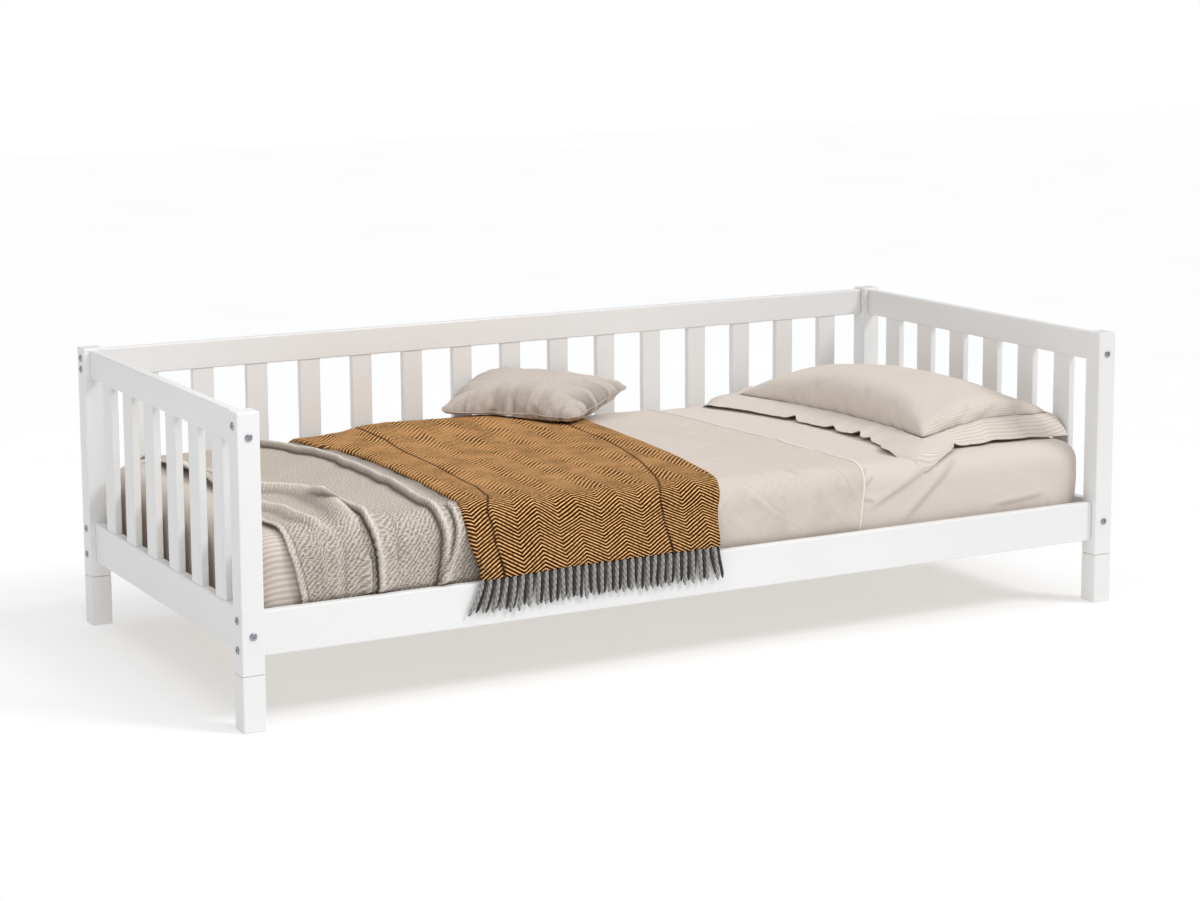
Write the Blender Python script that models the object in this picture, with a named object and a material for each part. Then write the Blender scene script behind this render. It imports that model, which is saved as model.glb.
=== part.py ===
"""A child's day bed in white painted wood, made up with its bedding.

Four square posts stand on four leg blocks. Rails run between the posts: a low one at the front, and a low
and a top one at the back, the foot and the head, with flat spindles mortised between each low and top rail.
Ledger strips inside the long low rails carry a roll of slats, and the mattress lies on it. Over the mattress
go a fitted sheet, a top sheet, a folded blanket, a fringed throw, a cushion and a pillow.

The origin is the middle of the footprint on the floor. +X points to the head, +Y to the back panel, +Z up.
"""

import math

import bmesh
import bpy
from mathutils import Euler, Matrix, Vector

# Driving dimensions, in metres.
LENGTH = 2.080
WIDTH = 0.968
POST = 0.046
LEG_HEIGHT = 0.110
POST_HEIGHT = 0.505
EDGE = 0.0025
EDGE_STEPS = 2
GAP = 0.0003

# Rails, each one centred in the thickness of its posts.
RAIL_THICK = 0.020
LOW_RAIL_HIGH = 0.087
LOW_RAIL_ABOVE_LEG = 0.033
TOP_RAIL_HIGH = 0.062
POST_PROUD = 0.004

# Spindles, held by their ends in mortises in the rails.
SPINDLE_THICK = 0.016
BACK_SPINDLE_WIDE = 0.050
END_SPINDLE_WIDE = 0.058
BACK_SPINDLES = 15
END_SPINDLES = 6
MORTISE_DEEP = 0.012

# Slats, the two tapes that hold them, and the strips they rest on.
LEDGER_WIDE = 0.020
LEDGER_HIGH = 0.022
LEDGER_ABOVE_RAIL_FOOT = 0.003
SLATS = 14
SLAT_WIDE = 0.068
SLAT_THICK = 0.016
SLAT_SIDE_PLAY = 0.003
SLAT_ROLL_LONG = 1.960
TAPE_WIDE = 0.030
TAPE_THICK = 0.0014
TAPE_SINK = 0.0006
TAPE_FROM_MIDDLE = 0.280

# Bolts through the posts into the ends of the long low rails.
BOLT_HEAD_RADIUS = 0.0075
BOLT_HEAD_THICK = 0.0024
BOLT_HEAD_ROUND = 0.0008
BOLT_SHANK_RADIUS = 0.003
BOLT_LONG = 0.090
BOLT_HOLE_RADIUS = 0.0035
BOLT_HOLE_SPARE = 0.003
BOLT_SPREAD = 0.0285
BOLT_SOCKET_ACROSS = 0.005
BOLT_SOCKET_DEEP = 0.0018
ROUND_STEPS = 16

# Mattress and bedding.
MATTRESS_HALF_LONG = 0.996
MATTRESS_HALF_WIDE = 0.440
MATTRESS_TOP = 0.362
MATTRESS_CORNER = 0.050
MATTRESS_EDGE = 0.028
FITTED_THICK = 0.0012
FITTED_HEM_ABOVE_SLATS = 0.012
TOP_SHEET_THICK = 0.0015
BLANKET_THICK = 0.006
THROW_THICK = 0.005
TOP_SHEET_ENDS = (-0.950, 0.400)
BLANKET_ENDS = (-0.955, -0.400)
THROW_ENDS = (-0.560, 0.120)
TUCK_BELOW_RAIL_TOP = 0.030
BEDDING_BACK_EDGE = 0.420
FRINGE_LONG = 0.065
THROW_OVER_RAIL = 0.0035
PILLOW_HALF = (0.236, 0.425)
PILLOW_MIDDLE = (0.764, 0.0)
PILLOW_HIGH = 0.112
CUSHION_HALF = (0.200, 0.140)
CUSHION_HIGH = 0.105
CUSHION_MIDDLE = (0.010, 0.265)
CUSHION_TURN = math.radians(-12)
CUSHION_TILT = math.radians(10)
CORNER_STEPS = 5
ROUND_OVER_STEPS = 4

# Levels and places worked out from the driving dimensions.
POST_TOP = LEG_HEIGHT + POST_HEIGHT
LOW_RAIL_FOOT = LEG_HEIGHT + LOW_RAIL_ABOVE_LEG
LOW_RAIL_TOP = LOW_RAIL_FOOT + LOW_RAIL_HIGH
TOP_RAIL_TOP = POST_TOP - POST_PROUD
TOP_RAIL_FOOT = TOP_RAIL_TOP - TOP_RAIL_HIGH
POST_X = (LENGTH - POST) / 2
POST_Y = (WIDTH - POST) / 2
RAIL_INSIDE_Y = POST_Y - RAIL_THICK / 2
RAIL_OUTSIDE_Y = POST_Y + RAIL_THICK / 2
LONG_RAIL = LENGTH - 2 * POST - 2 * GAP
SHORT_RAIL = WIDTH - 2 * POST - 2 * GAP
LEDGER_TOP = LOW_RAIL_FOOT + LEDGER_ABOVE_RAIL_FOOT + LEDGER_HIGH
SLAT_FOOT = LEDGER_TOP + GAP
SLAT_TOP = SLAT_FOOT + SLAT_THICK
MATTRESS_FOOT = SLAT_TOP + TAPE_THICK + GAP


def clear_scene():
    for old in list(bpy.data.objects):
        bpy.data.objects.remove(old, do_unlink=True)


def material(name, colour, roughness, metallic=0.0):
    made = bpy.data.materials.new(name)
    made.use_nodes = True
    shader = made.node_tree.nodes["Principled BSDF"]
    shader.inputs["Base Color"].default_value = (*colour, 1.0)
    shader.inputs["Roughness"].default_value = roughness
    shader.inputs["Metallic"].default_value = metallic
    return made


def place(name, shape, look, location=(0, 0, 0), rotation=(0, 0, 0)):
    """Turns a bmesh into a named object with its faces pointing out, shaded smooth between its sharp edges."""
    bmesh.ops.recalc_face_normals(shape, faces=shape.faces)
    mesh = bpy.data.meshes.new(name)
    shape.to_mesh(mesh)
    shape.free()
    mesh.shade_smooth()
    mesh.set_sharp_from_angle(angle=math.radians(35))
    mesh.materials.append(look)
    made = bpy.data.objects.new(name, mesh)
    made.location = location
    made.rotation_euler = rotation
    bpy.context.collection.objects.link(made)
    return made


def box(shape, size, middle=(0, 0, 0)):
    """Adds a plain box to a bmesh and returns its vertices."""
    across = Matrix.Diagonal((*size, 1.0))
    added = bmesh.ops.create_cube(shape, size=1.0, matrix=Matrix.Translation(middle) @ across)
    return added["verts"]


def board(name, size, middle, look, along=None):
    """A planed board with eased edges. With along, only the edges that run on that axis are eased."""
    shape = bmesh.new()
    box(shape, size)
    if along is None:
        eased = shape.edges[:]
    else:
        eased = [e for e in shape.edges if abs((e.verts[0].co - e.verts[1].co)[along]) > size[along] / 2]
    bmesh.ops.bevel(shape, geom=eased, offset=EDGE, segments=EDGE_STEPS, profile=0.5, affect="EDGES")
    return place(name, shape, look, middle)


def cut(target, name, shape):
    """Takes a bmesh, given in world space, out of an object."""
    cutter = place(name, shape, target.data.materials[0])
    cutter.hide_render = True
    cutter.display_type = "WIRE"
    hole = target.modifiers.new(name, "BOOLEAN")
    hole.object = cutter
    hole.operation = "DIFFERENCE"
    hole.solver = "EXACT"


def drill(shape, start, end, radius, steps=ROUND_STEPS):
    """Adds a closed round rod from start to end to a bmesh."""
    run = Vector(end) - Vector(start)
    turn = run.to_track_quat("Z", "Y").to_matrix().to_4x4()
    middle = Matrix.Translation((Vector(start) + Vector(end)) / 2)
    bmesh.ops.create_cone(
        shape, cap_ends=True, segments=steps, radius1=radius, radius2=radius, depth=run.length, matrix=middle @ turn
    )


def spindle_places(inside, count, wide):
    """The middles of equally spaced spindles across a clear width."""
    gap = (inside - count * wide) / (count + 1)
    return [-inside / 2 + gap * (i + 1) + wide * (i + 0.5) for i in range(count)]


def mortises(places, wide, run, middle, level):
    """A cutter for the mortises along one rail edge: run is the rail's axis, 0 for X or 1 for Y."""
    shape = bmesh.new()
    for at in places:
        size = [SPINDLE_THICK + 2 * GAP, SPINDLE_THICK + 2 * GAP, 2 * (MORTISE_DEEP + GAP)]
        size[run] = wide + 2 * GAP
        spot = [middle[0], middle[1], level]
        spot[run] = at
        box(shape, size, spot)
    return shape


def corners():
    """Each post's name, its end of the bed and its side: -1 for foot and front, 1 for head and back."""
    for end_name, end in (("foot", -1), ("head", 1)):
        for side_name, side in (("front", -1), ("back", 1)):
            yield f"{end_name}_{side_name}", end, side


def bolt_levels():
    middle = LOW_RAIL_FOOT + LOW_RAIL_HIGH / 2
    return (("lower", middle - BOLT_SPREAD), ("upper", middle + BOLT_SPREAD))


def bolt_line(end, side, level):
    """The points on one bolt's axis at the post's outer face and at the bottom of its hole in the rail."""
    outside = Vector((end * LENGTH / 2, side * POST_Y, level))
    inside = outside - Vector((end * (BOLT_LONG + BOLT_HOLE_SPARE), 0, 0))
    return outside, inside


def bolt_holes(end, side, sunk):
    """Rods that clear the two bolts at one corner. They start sunk past the post's outer face."""
    shape = bmesh.new()
    for _, level in bolt_levels():
        outside, inside = bolt_line(end, side, level)
        drill(shape, outside + Vector((end * sunk, 0, 0)), inside, BOLT_HOLE_RADIUS)
    return shape


def make_posts(paint):
    for corner, end, side in corners():
        spot = (end * POST_X, side * POST_Y)
        leg = (POST, POST, LEG_HEIGHT - GAP)
        board(f"leg_block_{corner}", leg, (*spot, leg[2] / 2), paint)
        post = board(f"post_{corner}", (POST, POST, POST_HEIGHT), (*spot, LEG_HEIGHT + POST_HEIGHT / 2), paint)
        cut(post, f"bolt_holes_in_post_{corner}", bolt_holes(end, side, 0.010))


def make_long_rails(paint):
    back = spindle_places(LENGTH - 2 * POST, BACK_SPINDLES, BACK_SPINDLE_WIDE)
    low_level = LOW_RAIL_FOOT + LOW_RAIL_HIGH / 2
    for side_name, side in (("front", -1), ("back", 1)):
        rail = board(
            f"{side_name}_low_rail", (LONG_RAIL, RAIL_THICK, LOW_RAIL_HIGH), (0, side * POST_Y, low_level), paint
        )
        for end_name, end in (("foot", -1), ("head", 1)):
            cut(rail, f"bolt_holes_in_{side_name}_rail_{end_name}", bolt_holes(end, side, 0.0))
        if side > 0:
            tops = mortises(back, BACK_SPINDLE_WIDE, 0, (0, POST_Y), LOW_RAIL_TOP)
            cut(rail, "mortises_in_back_low_rail", tops)
    top_level = TOP_RAIL_FOOT + TOP_RAIL_HIGH / 2
    rail = board("back_top_rail", (LONG_RAIL, RAIL_THICK, TOP_RAIL_HIGH), (0, POST_Y, top_level), paint)
    feet = mortises(back, BACK_SPINDLE_WIDE, 0, (0, POST_Y), TOP_RAIL_FOOT)
    cut(rail, "mortises_in_back_top_rail", feet)


def make_end_rails(paint):
    across = spindle_places(WIDTH - 2 * POST, END_SPINDLES, END_SPINDLE_WIDE)
    for end_name, end in (("foot", -1), ("head", 1)):
        for level_name, foot, high, mortise_level in (
            ("low", LOW_RAIL_FOOT, LOW_RAIL_HIGH, LOW_RAIL_TOP),
            ("top", TOP_RAIL_FOOT, TOP_RAIL_HIGH, TOP_RAIL_FOOT),
        ):
            name = f"{end_name}_{level_name}_rail"
            rail = board(name, (RAIL_THICK, SHORT_RAIL, high), (end * POST_X, 0, foot + high / 2), paint)
            pockets = mortises(across, END_SPINDLE_WIDE, 1, (end * POST_X, 0), mortise_level)
            cut(rail, f"mortises_in_{name}", pockets)


def make_spindles(paint):
    foot = LOW_RAIL_TOP - MORTISE_DEEP
    high = TOP_RAIL_FOOT + MORTISE_DEEP - foot
    level = foot + high / 2
    for i, x in enumerate(spindle_places(LENGTH - 2 * POST, BACK_SPINDLES, BACK_SPINDLE_WIDE)):
        size = (BACK_SPINDLE_WIDE, SPINDLE_THICK, high)
        board(f"back_spindle_{i + 1:02d}", size, (x, POST_Y, level), paint, along=2)
    for end_name, end in (("foot", -1), ("head", 1)):
        for i, y in enumerate(spindle_places(WIDTH - 2 * POST, END_SPINDLES, END_SPINDLE_WIDE)):
            size = (SPINDLE_THICK, END_SPINDLE_WIDE, high)
            board(f"{end_name}_spindle_{i + 1}", size, (end * POST_X, y, level), paint, along=2)


def make_ledgers(pine):
    level = LOW_RAIL_FOOT + LEDGER_ABOVE_RAIL_FOOT + LEDGER_HIGH / 2
    for side_name, side in (("front", -1), ("back", 1)):
        middle = (0, side * (RAIL_INSIDE_Y - GAP - LEDGER_WIDE / 2), level)
        board(f"{side_name}_slat_ledger", (SLAT_ROLL_LONG, LEDGER_WIDE, LEDGER_HIGH), middle, pine)


def make_slat_roll(pine):
    """All the slats, joined by two webbing tapes that lie on top of them."""
    slat_long = 2 * (RAIL_INSIDE_Y - SLAT_SIDE_PLAY)
    pitch = (SLAT_ROLL_LONG - SLAT_WIDE) / (SLATS - 1)
    slats = bmesh.new()
    for i in range(SLATS):
        x = -SLAT_ROLL_LONG / 2 + SLAT_WIDE / 2 + i * pitch
        box(slats, (SLAT_WIDE, slat_long, SLAT_THICK), (x, 0, SLAT_FOOT + SLAT_THICK / 2))
    roll = place("slat_roll", slats, pine)
    tapes = bmesh.new()
    for side in (-1, 1):
        high = TAPE_THICK + TAPE_SINK
        middle = (0, side * TAPE_FROM_MIDDLE, SLAT_TOP + TAPE_THICK - high / 2)
        box(tapes, (SLAT_ROLL_LONG - SLAT_WIDE / 2, TAPE_WIDE, high), middle)
    webbing = place("webbing_tapes", tapes, pine)
    webbing.hide_render = True
    webbing.display_type = "WIRE"
    joined = roll.modifiers.new("webbing", "BOOLEAN")
    joined.object = webbing
    joined.operation = "UNION"
    joined.solver = "EXACT"


def make_bolts(steel):
    """Wide-headed connector bolts with a hexagon socket. Each lies along X with its head outside the post."""
    for corner, end, side in corners():
        for level_name, level in bolt_levels():
            outside, _ = bolt_line(end, side, level)
            shape = bmesh.new()
            head = BOLT_HEAD_THICK
            flat = BOLT_HEAD_RADIUS - BOLT_HEAD_ROUND
            profile = [
                (0, -BOLT_LONG),
                (BOLT_SHANK_RADIUS, -BOLT_LONG),
                (BOLT_SHANK_RADIUS, GAP),
                (BOLT_HEAD_RADIUS, GAP),
                (BOLT_HEAD_RADIUS, head - BOLT_HEAD_ROUND),
                (flat, head),
                (0, head),
            ]
            turned(shape, profile)
            name = f"rail_bolt_{corner}_{level_name}"
            made = place(name, shape, steel, outside, Euler((0, end * math.pi / 2, 0)))
            socket = bmesh.new()
            top = outside + Vector((end * 2 * head, 0, 0))
            bottom = outside + Vector((end * (head - BOLT_SOCKET_DEEP), 0, 0))
            drill(socket, top, bottom, BOLT_SOCKET_ACROSS / math.sqrt(3), steps=6)
            cut(made, f"socket_{corner}_{level_name}", socket)


def turned(shape, profile):
    """Adds a solid turned round Z to a bmesh, from (radius, height) points that start and end on the axis."""
    points = [shape.verts.new((radius, 0, height)) for radius, height in profile]
    edges = [shape.edges.new(pair) for pair in zip(points, points[1:])]
    bmesh.ops.spin(
        shape, geom=points + edges, axis=(0, 0, 1), cent=(0, 0, 0), angle=2 * math.pi, steps=ROUND_STEPS
    )
    bmesh.ops.remove_doubles(shape, verts=shape.verts, dist=1e-6)


def rounded_outline(half_long, half_wide, radius):
    """A rectangle with round corners, anticlockwise."""
    points = []
    for quarter, (sx, sy) in enumerate(((1, 1), (-1, 1), (-1, -1), (1, -1))):
        for step in range(CORNER_STEPS + 1):
            angle = math.radians(90 * (quarter + step / CORNER_STEPS))
            x = sx * (half_long - radius) + radius * math.cos(angle)
            y = sy * (half_wide - radius) + radius * math.sin(angle)
            points.append((x, y))
    return points


def skinned(shape, rings):
    """Adds a solid to a bmesh: rings of equally many points, joined one to the next and closed at both ends."""
    rows = [[shape.verts.new(point) for point in ring] for ring in rings]
    for low, high in zip(rows, rows[1:]):
        for i, start in enumerate(low):
            j = (i + 1) % len(low)
            shape.faces.new((start, low[j], high[j], high[i]))
    shape.faces.new(list(reversed(rows[0])))
    shape.faces.new(rows[-1])


def pad_rings(half_long, half_wide, corner, low, high, inset, rise):
    """Rings of a pad from its underside to its top, whose edges round over by inset across and rise up."""
    rings = []
    for middle, first in ((low + rise, -90), (high - rise, 0)):
        for step in range(ROUND_OVER_STEPS + 1):
            angle = math.radians(first + 90 * step / ROUND_OVER_STEPS)
            drawn_in = inset * (1 - math.cos(angle))
            level = middle + rise * math.sin(angle)
            radius = max(corner - drawn_in, inset * 0.1)
            outline = rounded_outline(half_long - drawn_in, half_wide - drawn_in, radius)
            rings.append([(x, y, level) for x, y in outline])
    if abs((high - rise) - (low + rise)) < GAP:
        del rings[ROUND_OVER_STEPS + 1]
    return rings


def cover_rings(offset, hem):
    """Rings of the mattress's surface moved out by offset, from its top down to a hem at a given level."""
    rings = pad_rings(
        MATTRESS_HALF_LONG + offset,
        MATTRESS_HALF_WIDE + offset,
        MATTRESS_CORNER + offset,
        MATTRESS_FOOT,
        MATTRESS_TOP + offset,
        MATTRESS_EDGE + offset,
        MATTRESS_EDGE + offset,
    )
    top_half = rings[ROUND_OVER_STEPS + 1 :]
    skirt = [(x, y, hem) for x, y, _ in top_half[0]]
    return [*reversed(top_half), skirt]


def make_mattress(ticking, stripe):
    core = bmesh.new()
    skinned(
        core,
        pad_rings(
            MATTRESS_HALF_LONG,
            MATTRESS_HALF_WIDE,
            MATTRESS_CORNER,
            MATTRESS_FOOT,
            MATTRESS_TOP,
            MATTRESS_EDGE,
            MATTRESS_EDGE,
        ),
    )
    place("mattress", core, ticking)
    hem = MATTRESS_FOOT + FITTED_HEM_ABOVE_SLATS
    cover = bmesh.new()
    outside = cover_rings(GAP + FITTED_THICK, hem)
    inside = cover_rings(GAP, hem)
    skinned(cover, [*outside, *reversed(inside)])
    place("fitted_sheet", cover, stripe)


def front_drape(offset, bottom):
    """Points of (y, z) from the bedding's back edge, over the mattress's front edge and down to a level."""
    radius = MATTRESS_EDGE + offset
    turn_y = -MATTRESS_HALF_WIDE + MATTRESS_EDGE
    turn_z = MATTRESS_TOP - MATTRESS_EDGE
    points = [(BEDDING_BACK_EDGE, MATTRESS_TOP + offset)]
    for step in range(ROUND_OVER_STEPS + 1):
        angle = math.radians(90 + 90 * step / ROUND_OVER_STEPS)
        points.append((turn_y + radius * math.cos(angle), turn_z + radius * math.sin(angle)))
    points.append((turn_y - radius, bottom))
    return points


def thickened(path, thick):
    """The outline of a strip that lies on the outer side of a path of (y, z) points."""
    outer = []
    for i, (y, z) in enumerate(path):
        before = Vector(path[max(i - 1, 0)])
        after = Vector(path[min(i + 1, len(path) - 1)])
        run = (after - before).normalized()
        outer.append((y + thick * run[1], z - thick * run[0]))
    return [*path, *reversed(outer)]


def cloth(name, path, thick, ends, look):
    """A closed strip of cloth with one section along the whole of its stretch in X."""
    outline = thickened(path, thick)
    shape = bmesh.new()
    skinned(shape, [[(x, y, z) for y, z in outline] for x in ends])
    place(name, shape, look)


def make_covers(linen, knit, wool):
    tuck = LOW_RAIL_TOP - TUCK_BELOW_RAIL_TOP
    offset = FITTED_THICK + 2 * GAP
    cloth("top_sheet", front_drape(offset, tuck), TOP_SHEET_THICK, TOP_SHEET_ENDS, linen)
    offset += TOP_SHEET_THICK + GAP
    cloth("folded_blanket", front_drape(offset, tuck), BLANKET_THICK, BLANKET_ENDS, knit)
    offset += BLANKET_THICK + GAP
    over = LOW_RAIL_TOP + THROW_OVER_RAIL
    path = front_drape(offset, over + 2 * THROW_THICK)
    path.append((-RAIL_OUTSIDE_Y + EDGE, over))
    path.append((-RAIL_OUTSIDE_Y - 2 * GAP, over - EDGE))
    path.append((-RAIL_OUTSIDE_Y - 2 * GAP, over - FRINGE_LONG))
    cloth("fringed_throw", path, THROW_THICK, THROW_ENDS, wool)


def make_pillows(stripe, linen):
    low = MATTRESS_TOP + FITTED_THICK + 3 * GAP
    rise = PILLOW_HIGH / 2
    shape = bmesh.new()
    skinned(shape, pad_rings(*PILLOW_HALF, 0.06, -rise, rise, 0.10, rise))
    place("pillow", shape, stripe, (*PILLOW_MIDDLE, low + rise))
    rise = CUSHION_HIGH / 2
    shape = bmesh.new()
    skinned(shape, pad_rings(*CUSHION_HALF, 0.05, -rise, rise, 0.09, rise))
    turn = Euler((CUSHION_TILT, 0, CUSHION_TURN))
    made = place("small_cushion", shape, linen, (*CUSHION_MIDDLE, 0), turn)
    lowest = min((turn.to_matrix() @ v.co).z for v in made.data.vertices)
    covers = FITTED_THICK + TOP_SHEET_THICK + BLANKET_THICK + THROW_THICK + 6 * GAP
    made.location.z = MATTRESS_TOP + covers - lowest


def main():
    clear_scene()
    paint = material("white_paint", (0.83, 0.83, 0.82), 0.38)
    pine = material("bare_pine", (0.72, 0.56, 0.38), 0.60)
    steel = material("zinc_steel", (0.62, 0.64, 0.66), 0.30, 1.0)
    ticking = material("mattress_ticking", (0.80, 0.77, 0.72), 0.90)
    stripe = material("striped_cotton", (0.62, 0.53, 0.45), 0.90)
    linen = material("plain_linen", (0.64, 0.57, 0.50), 0.90)
    knit = material("taupe_knit", (0.45, 0.38, 0.31), 0.95)
    wool = material("ochre_wool", (0.50, 0.27, 0.08), 0.95)
    make_posts(paint)
    make_long_rails(paint)
    make_end_rails(paint)
    make_spindles(paint)
    make_ledgers(pine)
    make_slat_roll(pine)
    make_bolts(steel)
    make_mattress(ticking, stripe)
    make_covers(linen, knit, wool)
    make_pillows(stripe, linen)


main()
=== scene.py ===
"""Looks for the made-up wooden day bed: paint, bedding, floor, light and camera, all in the CAD row's frame."""

import math

import bmesh
import bpy
import numpy as np
from mathutils import Matrix, Vector


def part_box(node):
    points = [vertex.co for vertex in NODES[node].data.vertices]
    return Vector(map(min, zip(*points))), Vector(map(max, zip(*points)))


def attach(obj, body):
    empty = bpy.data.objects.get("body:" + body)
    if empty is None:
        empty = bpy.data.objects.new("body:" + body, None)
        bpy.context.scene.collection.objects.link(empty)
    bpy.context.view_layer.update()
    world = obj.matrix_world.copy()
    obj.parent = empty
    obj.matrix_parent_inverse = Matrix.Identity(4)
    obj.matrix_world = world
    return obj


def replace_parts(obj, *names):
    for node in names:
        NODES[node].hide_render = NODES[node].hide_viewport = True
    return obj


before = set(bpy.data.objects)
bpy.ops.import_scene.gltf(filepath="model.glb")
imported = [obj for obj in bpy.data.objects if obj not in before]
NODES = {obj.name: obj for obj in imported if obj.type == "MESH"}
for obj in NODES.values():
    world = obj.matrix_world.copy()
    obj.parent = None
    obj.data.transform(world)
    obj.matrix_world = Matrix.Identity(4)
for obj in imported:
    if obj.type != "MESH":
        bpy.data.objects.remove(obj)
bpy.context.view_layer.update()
SCENE = bpy.context.scene


# ---------------------------------------------------------------- camera, light and floor

CAMERA_AT = Vector((-2.7151, -4.9594, 1.4471))
SENSOR, LENS_PER_WIDTH = 36.0, 2593 / 1200
YAW, PITCH, ROLL = math.radians(28.63), math.radians(8.18), math.radians(-0.26)


def make_camera():
    forward = Vector((math.sin(YAW) * math.cos(PITCH), math.cos(YAW) * math.cos(PITCH), -math.sin(PITCH)))
    right = Vector((math.cos(YAW), -math.sin(YAW), 0.0))
    up = right.cross(forward)
    turned_right = right * math.cos(ROLL) + up * math.sin(ROLL)
    turned_up = up * math.cos(ROLL) - right * math.sin(ROLL)
    data = bpy.data.cameras.new("camera")
    data.sensor_width, data.lens = SENSOR, SENSOR * LENS_PER_WIDTH
    data.shift_x, data.shift_y = 0.0, -0.10
    data.clip_start, data.clip_end = 0.05, 60.0
    camera = bpy.data.objects.new("camera", data)
    axes = Matrix((turned_right, turned_up, -forward)).transposed().to_4x4()
    camera.matrix_world = Matrix.Translation(CAMERA_AT) @ axes
    SCENE.collection.objects.link(camera)
    SCENE.camera = camera


def sun(name, toward, share, softness):
    """A far light from the direction toward. share is how much of full white it gives a face turned to it."""
    data = bpy.data.lights.new(name, "SUN")
    data.energy, data.angle = share * math.pi, math.radians(softness)
    light = bpy.data.objects.new(name, data)
    light.location = Vector(toward) * 6
    light.rotation_euler = (-Vector(toward)).to_track_quat("-Z", "Y").to_euler()
    SCENE.collection.objects.link(light)


def soft_box(name, at, toward, size, watts):
    data = bpy.data.lights.new(name, "AREA")
    data.shape, data.size, data.energy = "DISK", size, watts
    light = bpy.data.objects.new(name, data)
    light.location = at
    light.rotation_euler = (Vector(toward) - Vector(at)).to_track_quat("-Z", "Y").to_euler()
    SCENE.collection.objects.link(light)


def make_lights():
    """A soft key from the front right, a wide light overhead, a box over the foot end that lights the inner sides of
    the panels, and a white studio round them."""
    sun("key", (0.52, -0.50, 0.66), 0.405, 17)
    sun("overhead", (0.06, -0.10, 1.0), 0.285, 80)
    sun("fill", (-0.80, -0.50, 0.50), 0.035, 60)
    soft_box("inner_fill", (-0.92, -0.90, 1.75), (1.0, 0.35, 0.48), 1.3, 8.5)
    world = bpy.data.worlds.new("studio")
    world.use_nodes = True
    tree = world.node_tree
    seen, lit = tree.nodes["Background"], tree.nodes.new("ShaderNodeBackground")
    seen.inputs["Color"].default_value = lit.inputs["Color"].default_value = (1.0, 1.0, 1.0, 1.0)
    seen.inputs["Strength"].default_value, lit.inputs["Strength"].default_value = 1.0, 0.38
    path, either = tree.nodes.new("ShaderNodeLightPath"), tree.nodes.new("ShaderNodeMixShader")
    tree.links.new(path.outputs["Is Camera Ray"], either.inputs[0])
    tree.links.new(lit.outputs[0], either.inputs[1])
    tree.links.new(seen.outputs[0], either.inputs[2])
    tree.links.new(either.outputs[0], tree.nodes["World Output"].inputs[0])
    SCENE.world = world
    SCENE.view_settings.view_transform = "Standard"
    SCENE.view_settings.look = "None"


# ---------------------------------------------------------------- node materials


class Value:
    """An output of one of a look's nodes. Sums and products with it add further nodes."""

    def __init__(self, look, socket):
        self.look, self.socket = look, socket

    def __add__(self, other):
        return self.look.math("ADD", self, other)

    def __sub__(self, other):
        return self.look.math("SUBTRACT", self, other)

    def __mul__(self, other):
        return self.look.math("MULTIPLY", self, other)


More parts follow.
